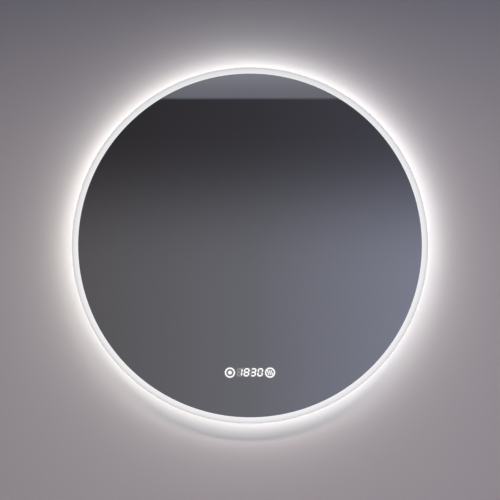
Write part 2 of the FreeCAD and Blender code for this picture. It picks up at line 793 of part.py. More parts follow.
def make_strip():
    """Flexible board round the pan, open on the left where its lead comes out, and its light packages."""
    low = STRIP_MIDDLE - S.strip_width / 2
    cylinders = []
    for name, radius, arc in (
        ("led_tape_outside", STRIP_RADIUS, STRIP_ARC),
        ("led_tape_inside", STRIP_INSIDE, FULL_TURN),
    ):
        cylinder = doc.addObject("Part::Cylinder", name)
        cylinder.setExpression("Radius", radius.formula)
        cylinder.setExpression("Height", S.strip_width.formula)
        cylinder.setExpression("Angle", arc.formula)
        half_gap = (FULL_TURN - arc) / 2
        cylinder.setExpression(".Placement.Base.z", low.formula)
        cylinder.setExpression(".Placement.Rotation.Angle", f"180 + {half_gap.formula}")
        cylinders.append(cylinder)
    tape = doc.addObject("Part::Cut", "led_tape")
    tape.Label = "led_tape"
    tape.Base, tape.Tool = cylinders
    doc.recompute()
    stand_up(tape)
    packages = new_body("led_packages")
    sketch = new_sketch(packages, "XZ")
    middle = STRIP_RADIUS + S.led_height / 2
    draw_rectangle(sketch, S.led_height, S.led_width, middle, STRIP_MIDDLE)
    package = pad(packages, sketch, S.led_length)
    package.Midplane = True
    round_the_axis(packages, package, S.count("led_count"))


def bush_outside():
    """Length and height of the rubber bush where it passes through the pan."""
    return EYE_WIDTH + S.bush_wall * 2, EYE_HEIGHT + S.bush_wall * 2


def make_strip_joint():
    """Cap over the strip's solder joint, and the rubber bush that its lead goes through."""
    at = (-PAN_RADIUS, ZERO)
    cap = new_body("strip_joint", at)
    sketch = new_sketch(cap, "YZ", -(S.joint_depth + S.bush_play))
    length = S.strip_gap - S.joint_play * 2
    draw_rectangle(sketch, length, S.joint_width, ZERO, STRIP_MIDDLE)
    pad(cap, sketch, S.joint_depth)
    bush = new_body("strip_bush", at)
    length, height = bush_outside()
    through = S.pan_sheet + S.bush_play * 2
    for extra, back, thickness in (
        (ZERO, -S.bush_play, through),
        (S.bush_flange, S.pan_sheet + S.bush_play, S.bush_flange),
    ):
        sketch = new_sketch(bush, "YZ", back)
        draw_rectangle(sketch, length + extra * 2, height + extra * 2, ZERO, STRIP_MIDDLE)
        draw_rectangle(sketch, EYE_WIDTH, EYE_HEIGHT, ZERO, STRIP_MIDDLE)
        pad(bush, sketch, thickness)


def make_stiffener(label, middle, length):
    """Top-hat stiffener welded inside the pan."""
    crown, sheet_size = S.hat_crown / 2, S.hat_sheet
    low, high = PAN_FLOOR, HAT_CROWN_Z
    folded(
        label,
        (ZERO, middle),
        length,
        [
            (-HAT_HALF, low),
            (sheet_size - crown, low),
            (sheet_size - crown, high - sheet_size),
            (crown - sheet_size, high - sheet_size),
            (crown - sheet_size, low),
            (HAT_HALF, low),
            (HAT_HALF, low + sheet_size),
            (crown, low + sheet_size),
            (crown, high),
            (-crown, high),
            (-crown, low + sheet_size),
            (-HAT_HALF, low + sheet_size),
        ],
    )


# ------------------------------------------------------------------------------- hanging and bumpers


def make_wall_rail():
    """Rail that is screwed to the wall. Its lip stands off the wall, and its seat carries the mirror."""
    low, seat = -S.rail_below, S.rail_above
    top = S.rail_above + S.lip_height
    under = seat - S.rail_sheet
    body = folded(
        "wall_rail",
        (ZERO, CENTRE_DROP),
        S.rail_length,
        [
            (low, ZERO),
            (seat, ZERO),
            (seat, S.slot_depth),
            (top, S.slot_depth),
            (top, LIP_FRONT),
            (under, LIP_FRONT),
            (under, S.rail_sheet),
            (low, S.rail_sheet),
        ],
    )
    soften(body, "Fillet", BEND_OUTER, bend_at(under, LIP_FRONT))
    soften(body, "Fillet", BEND_OUTER, bend_at(seat, ZERO))
    soften(body, "Fillet", S.bend_inner, bend_at(under, S.rail_sheet))
    soften(body, "Fillet", S.bend_inner, bend_at(seat, S.slot_depth))
    sketch = new_sketch(body, "XY", ZERO)
    for side in (-1, 1):
        draw_circle(sketch, S.fixing_radius, S.hole_spacing / 2 * side, ZERO)
        draw_slot(sketch, S.fixing_slot, S.fixing_radius, S.slot_spacing / 2 * side, ZERO)
    pocket(body, sketch, S.rail_sheet)


def make_hook_rail():
    """Rail welded to the back of the pan. Its lip drops behind the wall rail's lip and sits on its seat."""
    back, web_top = S.hook_wall_gap, HOOK_WEB + S.rail_sheet
    base = PAN_BACK - S.rail_sheet
    body = folded(
        "hook_rail",
        (ZERO, CENTRE_DROP),
        S.hook_length,
        [
            (HOOK_SEAT, back),
            (web_top, back),
            (web_top, base),
            (HOOK_TOP, base),
            (HOOK_TOP, PAN_BACK),
            (HOOK_WEB, PAN_BACK),
            (HOOK_WEB, back + S.rail_sheet),
            (HOOK_SEAT, back + S.rail_sheet),
        ],
    )
    soften(body, "Fillet", BEND_OUTER, bend_at(web_top, back))
    soften(body, "Fillet", BEND_OUTER, bend_at(HOOK_WEB, PAN_BACK))
    soften(body, "Fillet", S.bend_inner, bend_at(web_top, base))
    soften(body, "Fillet", S.bend_inner, bend_at(HOOK_WEB, back + S.rail_sheet))


def make_bumpers():
    """Rubber bumpers stuck to the pan, which hold the foot of the mirror off the wall."""
    section = [
        (ZERO, ZERO),
        (S.bumper_radius, ZERO),
        (S.bumper_radius, PAN_BACK),
        (ZERO, PAN_BACK),
    ]
    in_places("wall_bumpers", section, row_places(2, S.bumper_spacing, LOWER_HAT_Y))


# ------------------------------------------------------------------------------------- mains entry


def make_access_plate():
    """Plate over the wiring opening, held by a screw and a tongue, with the grommet of the mains cable."""
    length = OPENING_LENGTH + S.plate_lap * 2
    width = OPENING_WIDTH + S.plate_lap * 2
    body = plate("access_plate", length, width, PLATE_BACK, S.plate_sheet, BOX_AT)
    soften(body, "Chamfer", S.plate_corner, along("z"))
    edge = S.tongue_play - OPENING_LENGTH / 2
    hook = PAN_FLOOR + S.tongue_play
    neck = (edge, S.plate_sheet, PAN_BACK, hook + S.plate_sheet - PAN_BACK)
    tip = (edge - S.tongue_lap, S.tongue_lap, hook, S.plate_sheet)
    for left, across, back, depth in (neck, tip):
        sketch = new_sketch(body, "XY", back)
        draw_rectangle(sketch, across, S.tongue_width, left + across / 2, ZERO)
        pad(body, sketch, depth)
    sketch = new_sketch(body, "XY", PLATE_BACK)
    draw_circle(sketch, GROMMET_RADIUS + S.grommet_play, CLAMP_X, ZERO)
    draw_circle(sketch, CLEAR_HOLE, PLATE_SCREW_X, ZERO)
    pocket(body, sketch, S.plate_sheet)
    turned("access_screw", screw_section(PLATE_BACK), BOX_AT, PLATE_SCREW_X)
    lip = GROMMET_RADIUS + S.grommet_lip
    turned(
        "cable_grommet",
        [
            (S.cable_radius, PLATE_BACK - S.grommet_lip_height),
            (lip, PLATE_BACK - S.grommet_lip_height),
            (lip, PLATE_BACK),
            (GROMMET_RADIUS, PLATE_BACK),
            (GROMMET_RADIUS, PAN_BACK + S.grommet_inside),
            (S.cable_radius, PAN_BACK + S.grommet_inside),
        ],
        BOX_AT,
        CLAMP_X,
    )


def make_terminal_box():
    """Insulating box over the wiring opening, open towards the wall, with lead slots and clamp posts."""
    body = plate(
        "terminal_box", S.box_length, S.box_width, PAN_FLOOR, S.box_height, BOX_AT
    )
    soften(body, "Chamfer", S.box_corner, along("z"))
    sketch = new_sketch(body, "XY", PAN_FLOOR)
    bevel = S.box_corner
    draw_outline(
        sketch,
        [
            (bevel - BOX_END, -BOX_SIDE),
            (BOX_END - bevel, -BOX_SIDE),
            (BOX_END, bevel - BOX_SIDE),
            (BOX_END, BOX_SIDE - bevel),
            (BOX_END - bevel, BOX_SIDE),
            (bevel - BOX_END, BOX_SIDE),
            (-BOX_END, BOX_SIDE - bevel),
            (-BOX_END, bevel - BOX_SIDE),
        ],
    )
    pocket(body, sketch, S.box_height - S.box_wall)
    sketch = new_sketch(body, "XY", BOX_FLOOR - S.clamp_post)
    across = S.clamp_length / 2 - S.clamp_width / 2
    for side in (-1, 1):
        x = across * side + CLAMP_X
        draw_rectangle(sketch, S.clamp_width, S.clamp_width, x, CLAMP_Y)
    pad(body, sketch, S.clamp_post)
    for plane, start, along_wall in (
        ("YZ", -(S.box_length / 2), ZERO),
        ("XZ", BOX_SIDE, S.socket_x - S.box_x),
        ("XZ", -(S.box_width / 2), S.tab_x),
    ):
        sketch = new_sketch(body, plane, start)
        draw_rectangle(sketch, EYE_WIDTH, EYE_HEIGHT, along_wall, OUTLET_Z)
        pocket(body, sketch, S.box_wall)
    back = BOX_FLOOR - S.clamp_post - S.clamp_bar
    at = (BOX_AT[0] + CLAMP_X, BOX_AT[1] + CLAMP_Y)
    plate("cord_clamp", S.clamp_length, S.clamp_width, back, S.clamp_bar, at)


def make_terminal_block():
    """Terminal block on the floor of its box, with a barrier on each side of every pole."""
    at = (BOX_AT[0] + BLOCK_X, BOX_AT[1])
    back = BOX_FLOOR - S.block_height
    base = S.block_height - S.block_step
    size = (BLOCK_LENGTH, S.block_depth)
    body = plate("terminal_block", *size, back + S.block_step, base, at)
    sketch = new_sketch(body, "XY", back)
    first = (S.block_barrier - BLOCK_LENGTH) / 2
    draw_rectangle(sketch, S.block_barrier, S.block_depth, first, ZERO)
    barrier = pad(body, sketch, S.block_height - base / 2)
    in_a_row(body, barrier, S.count("block_poles") + 1, S.block_pitch)


def make_driver():
    """Sealed light driver, and the foam tape that holds it to the pan."""
    body = plate(
        "led_driver",
        S.driver_length,
        S.driver_width,
        DRIVER_BACK,
        S.driver_height,
        DRIVER_AT,
    )
    top = DRIVER_BACK + S.driver_height
    soften(body, "Chamfer", S.driver_bevel, all_at(top))
    length = S.driver_length - S.driver_tape_inset * 2
    width = S.driver_width - S.driver_tape_inset * 2
    plate("driver_tape", length, width, PAN_FLOOR, S.driver_tape, DRIVER_AT)


# ------------------------------------------------------------------------- touch and clock module


def draw_windows(sketch, play):
    """The openings for the clock display and for the light guides of the two touch keys."""
    draw_rectangle(sketch, DISPLAY_LENGTH + play * 2, DISPLAY_WIDTH + play * 2)
    for side in (-1, 1):
        size = S.guide_size + play * 2
        draw_rectangle(sketch, size, size, TOUCH_X * side, ZERO)


def make_module_shell():
    """Gasket, housing and lid of the touch and clock module."""
    shells = {}
    for label, back, depth in (
        ("module_gasket", MODULE_FRONT, S.module_foam),
        ("module_housing", MODULE_BACK, S.module_depth),
        ("module_lid", MODULE_BACK - S.lid_thickness, S.lid_thickness),
    ):
        body = plate(label, MODULE_LENGTH, S.module_width, back, depth, MODULE_AT)
        soften(body, "Chamfer", S.module_corner, along("z"))
        shells[label] = body
    sketch = new_sketch(shells["module_gasket"], "XY", MODULE_FRONT)
    draw_windows(sketch, S.guide_play)
    pocket(shells["module_gasket"], sketch, S.module_foam)
    housing = shells["module_housing"]
    sketch = new_sketch(housing, "XY", MODULE_BACK)
    inner_length, inner_width = module_inside()
    draw_rectangle(sketch, inner_length, inner_width)
    pocket(housing, sketch, S.module_depth - S.module_wall)
    sketch = new_sketch(housing, "XY", MODULE_FRONT - S.module_wall)
    draw_windows(sketch, S.guide_play)
    pocket(housing, sketch, S.module_wall)
    sketch = new_sketch(shells["module_lid"], "XY", MODULE_BACK - S.lid_thickness)
    play = S.guide_play * 2
    opening = (S.socket_length + play, S.socket_width + play)
    draw_rectangle(sketch, *opening, S.socket_x, ZERO)
    pocket(shells["module_lid"], sketch, S.lid_thickness)


def module_inside():
    """Length and width of the inside of the module's housing."""
    wall = S.module_wall * 2
    return MODULE_LENGTH - wall, S.module_width - wall


def make_light_guides():
    """Clear light guides of the two touch keys."""
    body = new_body("touch_light_guides", MODULE_AT)
    sketch = new_sketch(body, "XY", DISPLAY_BACK)
    for side in (-1, 1):
        draw_rectangle(sketch, S.guide_size, S.guide_size, TOUCH_X * side, ZERO)
    pad(body, sketch, S.display_depth)


def bar_outline(start, end):
    """Outline of one bar of a clock digit, pointed at both ends, between two points (across, up).
    The bars of a digit stop a little short of each other, and lean with the digit."""
    half = S.digit_bar / 2
    short = S.digit_bar * 0.62
    level = abs((end[1] - start[1]).number) < 1e-9
    ahead = (as_size(1), ZERO) if level else (ZERO, as_size(1))
    aside = (ahead[1], ahead[0])

    def point(base, forward, sideways):
        across = base[0] + ahead[0] * forward + aside[0] * sideways
        up = base[1] + ahead[1] * forward + aside[1] * sideways
        return across + up * S.digit_slant, up

    return [
        point(start, short - half, ZERO),
        point(start, short, half),
        point(end, -short, half),
        point(end, half - short, ZERO),
        point(end, -short, -half),
        point(start, short, -half),
    ]


def make_display():
    """Clock display: a dark block with a light well for each of the seven bars of its four digits."""
    body = plate(
        "clock_display",
        DISPLAY_LENGTH,
        DISPLAY_WIDTH,
        DISPLAY_BACK,
        S.display_depth,
        MODULE_AT,
    )
    digits = S.count("digit_count")
    middle = -(S.digit_pitch * ((digits - 1) / 2))
    left, right = middle - S.digit_width / 2, middle + S.digit_width / 2
    top = S.digit_height / 2
    sketch = new_sketch(body, "XY", MODULE_FRONT - S.digit_well)
    for start, end in (
        ((left, top), (right, top)),
        ((left, ZERO), (right, ZERO)),
        ((left, -top), (right, -top)),
        ((left, ZERO), (left, top)),
        ((left, -top), (left, ZERO)),
        ((right, ZERO), (right, top)),
        ((right, -top), (right, ZERO)),
    ):
        draw_outline(sketch, bar_outline(start, end))
    in_a_row(body, pocket(body, sketch, S.digit_well), digits, S.digit_pitch)


def make_board():
    """Circuit board of the module, its socket, and the plug of its lead."""
    length, width = (side - S.board_play * 2 for side in module_inside())
    plate("module_board", length, width, BOARD_BACK, S.board_thickness, MODULE_AT)
    for label, back, depth in (
        ("module_socket", SOCKET_BACK, S.socket_depth),
        ("module_plug", PLUG_BACK, S.plug_depth),
    ):
        plate(label, S.socket_length, S.socket_width, back, depth, SOCKET_AT)


# ------------------------------------------------------------------------------ demister and leads


def make_demister():
    """Heating film on the back of the glass, and the tab that its lead is crimped to."""
    size = (S.pad_length, S.pad_width)
    film = plate("demister_pad", *size, TAB_FRONT, S.pad_thickness, (ZERO, S.pad_y))
    soften(film, "Chamfer", S.pad_corner, along("z"))
    back = TAB_FRONT - S.tab_height
    plate("demister_tab", S.tab_length, S.tab_width, back, S.tab_height, TAB_AT)


def make_clip(label, at, seat, plane):
    """Glued clip with a flat eye round a lead, its foot on the surface at seat."""
    body = new_body(label, at)
    sketch = new_sketch(body, plane, -(S.clip_length / 2))
    middle = seat + CLIP_RISE
    wall = S.clip_wall * 2
    draw_rectangle(sketch, EYE_WIDTH + wall, EYE_HEIGHT + wall, ZERO, middle)
    draw_rectangle(sketch, EYE_WIDTH, EYE_HEIGHT, ZERO, middle)
    pad(body, sketch, S.clip_length)


def make_leads():
    """The leads inside the pan, each from its outlet to its terminal, and the clips that hold them."""
    straight = S.clip_length * 2
    half = S.driver_length / 2
    driver_left, driver_right = DRIVER_AT[0] - half, DRIVER_AT[0] + half
    clip_x = (driver_left - PAN_INSIDE) / 2
    clip_z = PAN_FLOOR + CLIP_RISE
    lead(
        "strip_lead",
        [
            (driver_left, OUTLET_Z),
            (driver_left - straight, OUTLET_Z),
            (clip_x + straight, clip_z),
            (clip_x - straight, clip_z),
            (straight - PAN_INSIDE, STRIP_MIDDLE),
            (-PAN_RADIUS, STRIP_MIDDLE),
        ],
        ("XZ", ZERO),
    )
    make_clip("strip_lead_clip", (clip_x, ZERO), PAN_FLOOR, "YZ")
    through = S.box_wall + S.lead_inside
    box_left = BOX_AT[0] - S.box_length / 2
    lead(
        "mains_lead",
        [(driver_right, OUTLET_Z), (box_left + through, OUTLET_Z)],
        ("XZ", ZERO),
    )
    box_side = S.box_width / 2
    tab_foot = S.tab_y - S.tab_width / 2
    tab_z = TAB_FRONT - S.tab_height / 2
    run = (tab_foot - box_side) / 3
    lead(
        "demister_lead",
        [
            (box_side - through, OUTLET_Z),
            (box_side + run, OUTLET_Z),
            (tab_foot - run, tab_z),
            (tab_foot, tab_z),
        ],
        ("YZ", TAB_AT[0]),
    )
    over_hat = HAT_CROWN_Z + CLIP_RISE
    plug_z = SOCKET_BACK - S.plug_depth / 2
    plug_side = SOCKET_AT[1] + S.socket_width / 2
    lead(
        "module_lead",
        [
            (through - box_side, OUTLET_Z),
            (-box_side - straight, OUTLET_Z),
            (LOWER_HAT_Y + straight * 3, OUTLET_Z - S.lead_thickness),
            (LOWER_HAT_Y + straight, over_hat),
            (LOWER_HAT_Y - straight, over_hat),
            (plug_side + straight, plug_z),
            (plug_side, plug_z),
        ],
        ("YZ", SOCKET_AT[0]),
    )
    make_clip("module_lead_clip", (SOCKET_AT[0], LOWER_HAT_Y), HAT_CROWN_Z, "XZ")


def make_all():
    """Builds every piece."""
    make_glass()
    make_rim()
    make_glass_tape()
    make_pan()
    make_strip()
    make_strip_joint()
    make_stiffener("upper_stiffener", UPPER_HAT_Y, S.upper_hat_length)
    make_stiffener("lower_stiffener", LOWER_HAT_Y, S.lower_hat_length)
    make_wall_rail()
    make_hook_rail()
    make_bumpers()
    make_access_plate()
    make_terminal_box()
    make_terminal_block()
    make_driver()
    make_module_shell()
    make_light_guides()
    make_display()
    make_board()
    make_demister()
    make_leads()


make_all()
doc.recompute()

for made in doc.Objects:
    if {"Invalid", "Error"} & set(made.State):
        raise RuntimeError(f"{made.Label} failed: {made.State}")

os.makedirs("parts", exist_ok=True)
for node in nodes:
    shape = node.Shape
    if shape.isNull() or not shape.isValid():
        raise RuntimeError(f"{node.Label} has no valid shape")
    if not shape.Solids:
        raise RuntimeError(f"{node.Label} has no solid")
    shape.exportStep(f"parts/{node.Label}.step")
    print(f"{node.Label}: {len(shape.Solids)} solid(s), {shape.Volume / 1000:.2f} cm3")
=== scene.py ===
"""Looks of a round wall mirror with a backlit opal rim, touch keys and a clock behind the glass.

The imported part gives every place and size. This script adds the finishes, the finer meshes that stand for
some of its pieces, the wall that the light falls on, the lamps and the camera. All lengths are metres.
"""

from __future__ import annotations

import json
import logging
import math
from contextlib import contextmanager
from dataclasses import dataclass, field
from enum import Enum
from typing import Any, Iterator, Sequence

import bpy
from mathutils import Matrix, Vector

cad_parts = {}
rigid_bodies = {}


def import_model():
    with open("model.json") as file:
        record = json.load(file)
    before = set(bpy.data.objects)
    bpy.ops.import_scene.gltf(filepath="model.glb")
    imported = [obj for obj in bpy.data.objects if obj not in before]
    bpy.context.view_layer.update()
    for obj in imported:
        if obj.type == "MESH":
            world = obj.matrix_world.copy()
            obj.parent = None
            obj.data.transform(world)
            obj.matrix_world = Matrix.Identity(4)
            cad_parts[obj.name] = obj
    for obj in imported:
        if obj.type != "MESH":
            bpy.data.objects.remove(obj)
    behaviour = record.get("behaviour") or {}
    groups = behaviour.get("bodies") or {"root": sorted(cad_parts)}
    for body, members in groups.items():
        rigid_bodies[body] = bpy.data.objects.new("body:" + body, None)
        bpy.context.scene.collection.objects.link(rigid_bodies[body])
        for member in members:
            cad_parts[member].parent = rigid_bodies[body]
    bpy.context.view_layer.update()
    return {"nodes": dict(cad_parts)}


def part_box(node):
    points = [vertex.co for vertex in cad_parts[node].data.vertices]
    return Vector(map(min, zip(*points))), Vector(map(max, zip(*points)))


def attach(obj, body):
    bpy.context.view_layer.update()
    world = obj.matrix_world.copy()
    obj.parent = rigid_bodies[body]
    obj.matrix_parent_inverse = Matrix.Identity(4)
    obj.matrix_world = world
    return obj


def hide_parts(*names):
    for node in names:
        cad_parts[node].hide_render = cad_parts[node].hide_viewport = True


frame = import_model()

logging.basicConfig(level=logging.INFO, format="%(message)s")
log = logging.getLogger("mirror")

MM = 0.001
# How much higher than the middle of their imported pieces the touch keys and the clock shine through.
KEY_LIFT = 1.2 * MM
CLOCK_LIFT = 1.7 * MM
# How far the shining marks reach back from the front of the glass.
MARK_DEPTH = 0.1 * MM
# Lengths below this count as nothing.
TINY = 1e-7
# Straight bits in a rounded bend.
BEND_STEPS = 4
IMAGE_SIDE = 500

Colour = tuple[float, float, float]
Point = tuple[float, float, float]
Pair = tuple[float, float]
Line = list[Pair]
Piece = bpy.types.Object


# ------------------------------------------------------------------------------------------ modelling


def settled(obj: Piece) -> Piece:
    """Moves an object's place, turn and scale into its mesh, so that it sits at the origin.

    Args:
        obj: a mesh object that is nobody's child.

    Returns:
        The same object.
    """
    bpy.context.view_layer.update()
    obj.data.transform(obj.matrix_world)
    obj.matrix_world.identity()
    obj.data.update()
    return obj


def select_only(obj: Piece | None) -> None:
    """Deselects everything, then selects one object and makes it active.

    Args:
        obj: the object to select, or None to leave nothing selected.
    """
    for other in bpy.context.view_layer.objects:
        other.select_set(False)
    bpy.context.view_layer.objects.active = obj
    if obj is not None:
        obj.select_set(True)


@contextmanager
def editing(obj: Piece) -> Iterator[None]:
    """Edit mode on one object, with all of it selected at the start.

    Args:
        obj: the object.
    """
    select_only(obj)
    bpy.ops.object.mode_set(mode="EDIT")
    bpy.ops.mesh.select_mode(type="VERT")
    bpy.ops.mesh.select_all(action="SELECT")
    try:
        yield
    finally:
        bpy.ops.object.mode_set(mode="OBJECT")


def named(name: str) -> Piece:
    """Gives the object that was just added its name.

    Args:
        name: the name of the object and of its mesh.

    Returns:
        The object.
    """
    obj = bpy.context.active_object
    obj.name = name
    obj.data.name = name
    return obj


def applied(obj: Piece, kind: str, **settings: Any) -> Piece:
    """Adds a modifier to an object and applies it.

    Args:
        obj: the object to change.
        kind: the modifier's type, such as "BEVEL".
        settings: the modifier's own settings.

    Returns:
        The same object.
    """
    select_only(obj)
    modifier = obj.modifiers.new(kind.title(), kind)
    for key, value in settings.items():
        setattr(modifier, key, value)
    bpy.ops.object.modifier_apply(modifier=modifier.name)
    return obj


def block(name: str, low: Sequence[float], high: Sequence[float]) -> Piece:
    """A box between two corners, ready to be shaped further.

    Args:
        name: the object's name.
        low: the lowest corner.
        high: the highest corner.

    Returns:
        The new object, with its place in its mesh.
    """
    select_only(None)
    middle = [(a + b) / 2 for a, b in zip(low, high)]
    bpy.ops.mesh.primitive_cube_add(size=1, location=middle, scale=[b - a for a, b in zip(low, high)])
    return settled(named(name))


def softened(obj: Piece, width: float, angle: float = 40) -> Piece:
    """Rounds every edge of an object that is sharper than an angle.

    Args:
        obj: the object to change.
        width: the bevel's width.
        angle: the least angle between two faces, in degrees, for their edge to be rounded.

    Returns:
        The same object.
    """
    applied(obj, "BEVEL", width=width, segments=2, limit_method="ANGLE",
            angle_limit=math.radians(angle), use_clamp_overlap=True)
    return smoothed(obj)


def smoothed(obj: Piece, angle: float = 35) -> Piece:
    """Shades an object smooth, apart from its sharp edges.

    Args:
        obj: the object to change.
        angle: the least angle, in degrees, that stays sharp.

    Returns:
        The same object.
    """
    select_only(obj)
    bpy.ops.object.shade_smooth_by_angle(angle=math.radians(angle))
    return obj


def cleaned(obj: Piece, distance: float = 1e-6) -> Piece:
    """Merges doubled vertices and turns every face outwards.

    Args:
        obj: the object to change.
        distance: how near two vertices are that count as one.

    Returns:
        The same object.
    """
    with editing(obj):
        bpy.ops.mesh.remove_doubles(threshold=distance)
        bpy.ops.mesh.normals_make_consistent(inside=False)
    return obj


def turned(name: str, profile: Sequence[Pair], middle: Sequence[float], steps: int = 64) -> Piece:
    """A piece turned round an axis along Y, drawn ring by ring from a closed or open profile.

    A profile that starts and ends on the axis makes a solid, and one that starts where it ends makes a ring.

    Args:
        name: the object's name.
        profile: (radius, y) pairs in order.
        middle: a point on the axis, of which x and z count.
        steps: flat sides round the axis.

    Returns:
        The new object, with its place in its mesh.
    """
    select_only(None)
    radius, y = profile[0]
    x, z = middle[0], middle[2]
    bpy.ops.mesh.primitive_circle_add(vertices=steps, radius=max(radius, TINY), fill_type="NOTHING",
                                      location=(x, y, z), rotation=(math.pi / 2, 0, 0))
    obj = named(name)
    bpy.ops.object.mode_set(mode="EDIT")
    bpy.ops.mesh.select_all(action="SELECT")
    for next_radius, next_y in profile[1:]:
        bpy.ops.mesh.extrude_edges_move(TRANSFORM_OT_translate={"value": (0, next_y - y, 0)})
        scale = max(next_radius, TINY) / max(radius, TINY)
        bpy.ops.transform.resize(value=(scale, 1, scale), center_override=(x, next_y, z))
        radius, y = next_radius, next_y
    bpy.ops.object.mode_set(mode="OBJECT")
    return cleaned(settled(obj), 2e-6)


def slab(inner: float, outer: float, front: float, back: float) -> Line:
    """The profile of a flat round piece, which is a ring where inner is more than nothing."""
    line = [(inner, front), (outer, front), (outer, back), (inner, back)]
    return line + line[:1] if inner > 0 else line


def arc(middle: Pair, radius: float, start: float, end: float, steps: int = 4) -> Line:
    """Points along an arc, both ends included, with angles in degrees."""
    angles = [math.radians(start + (end - start) * k / steps) for k in range(steps + 1)]
    return [(middle[0] + radius * math.cos(a), middle[1] + radius * math.sin(a)) for a in angles]


def filleted(corners: Sequence[Point], closed: bool = False) -> Line:
    """A line through corners, rounded where a corner has a radius.

    Args:
        corners: (a, b, radius) of each corner, in order.
        closed: whether the last corner is followed by the first.

    Returns:
        The line's points.
    """
    line: Line = []
    count = len(corners)
    for k, (a, b, radius) in enumerate(corners):
        if radius == 0 or (not closed and k in (0, count - 1)):
            line.append((a, b))
            continue
        corner = Vector((a, b))
        before = (Vector(corners[k - 1][:2]) - corner).normalized()
        after = (Vector(corners[(k + 1) % count][:2]) - corner).normalized()
        half = before.angle(after) / 2
        middle = corner + (before + after).normalized() * (radius / math.sin(half))
        start = corner + before * (radius / math.tan(half)) - middle
        turn = start.angle_signed(corner + after * (radius / math.tan(half)) - middle)
        for step in range(BEND_STEPS + 1):
            spoke = start.copy()
            spoke.rotate(Matrix.Rotation(-turn * step / BEND_STEPS, 2))
            line.append(tuple(middle + spoke))
    return line


def prism(name: str, corners: Sequence[Sequence[float]], sweep: Sequence[float]) -> Piece:
    """A flat outline swept along a straight line.

    Args:
        name: the object's name.
        corners: the outline's corners, in order.
        sweep: how far and which way it is swept.

    Returns:
        The new object.
    """
    select_only(None)
    bpy.ops.mesh.primitive_circle_add(vertices=len(corners), radius=1, fill_type="NGON")
    obj = settled(named(name))
    for vertex, corner in zip(obj.data.vertices, corners):
        vertex.co = corner
    with editing(obj):
        bpy.ops.mesh.extrude_region_move(TRANSFORM_OT_translate={"value": tuple(sweep)})
    return cleaned(obj)


def flat_shape(name: str, corners: Line, front: float, thickness: float) -> Piece:
    """A flat piece that faces -Y, from its outline as (x, z), y of its front and how far it goes back."""
    return prism(name, [(x, front, z) for x, z in corners], (0, thickness, 0))


def long_hole(x: float, z: float, across: float, up: float) -> Line:
    """The outline of a hole with round ends, or of a round hole where both sizes are alike.

    Args:
        x: its middle.
        z: its middle.
        across: its size along X.
        up: its size along Z.

    Returns:
        Its corners as (x, z).
    """
    radius = min(across, up) / 2
    dx, dz = across / 2 - radius, up / 2 - radius
    outline: Line = []
    for quarter, end in enumerate(((x + dx, z + dz), (x - dx, z + dz), (x - dx, z - dz), (x + dx, z - dz))):
        for point in arc(end, radius, quarter * 90, quarter * 90 + 90):
            if not outline or math.dist(point, outline[-1]) > TINY:
                outline.append(point)
    if math.dist(outline[0], outline[-1]) < TINY:
        outline.pop()
    return outline


def refined(node: str, width: float) -> Piece:
    """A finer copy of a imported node, with its triangles made whole faces and its edges rounded.

    Args:
        node: the node's name.
        width: how far its edges are rounded.

    Returns:
        The copy.
    """
    select_only(frame["nodes"][node])
    bpy.ops.object.duplicate(linked=False)
    obj = named(f"fine_{node}")
    obj.parent = None
    for key in list(obj.keys()):
        del obj[key]
    cleaned(settled(obj))
    with editing(obj):
        bpy.ops.mesh.dissolve_limited(angle_limit=math.radians(0.5))
    return softened(obj, width)


def joined(name: str, parts: Sequence[Piece]) -> Piece:
    """Several objects made one, each keeping its own closed mesh.

    Args:
        name: the name of the one that they become.
        parts: the objects.

    Returns:
        The one object.
    """
    select_only(parts[0])
    for part in parts[1:]:
        part.select_set(True)
    bpy.ops.object.join()
    return named(name)


def copied(obj: Piece, name: str, move: Sequence[float]) -> Piece:
    """A copy of an object with its own mesh, moved.

    Args:
        obj: the object to copy.
        name: the copy's name.
        move: how far the copy is moved.

    Returns:
        The copy.
    """
    select_only(obj)
    bpy.ops.object.duplicate(linked=False)
    bpy.ops.transform.translate(value=tuple(move))
    return settled(named(name))


def cut(obj: Piece, cutter: Piece) -> None:
    """Cuts one object out of another and removes the cutter."""
    applied(obj, "BOOLEAN", object=cutter, operation="DIFFERENCE", solver="EXACT")
    bpy.data.objects.remove(cutter)


def centre(node: str) -> Pair:
    """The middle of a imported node's box, as (x, z)."""
    low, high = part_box(node)
    return (low.x + high.x) / 2, (low.z + high.z) / 2


def key_places() -> tuple[Pair, Pair]:
    """Where the two touch keys shine through.

    Returns:
        (x, z) of the left one's middle and of the right one's.
    """
    low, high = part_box("touch_light_guides")
    x = high.x - (high.z - low.z) / 2
    z = centre("touch_light_guides")[1] + KEY_LIFT
    return (-x, z), (x, z)


# -------------------------------------------------------------------------------------------- shaders


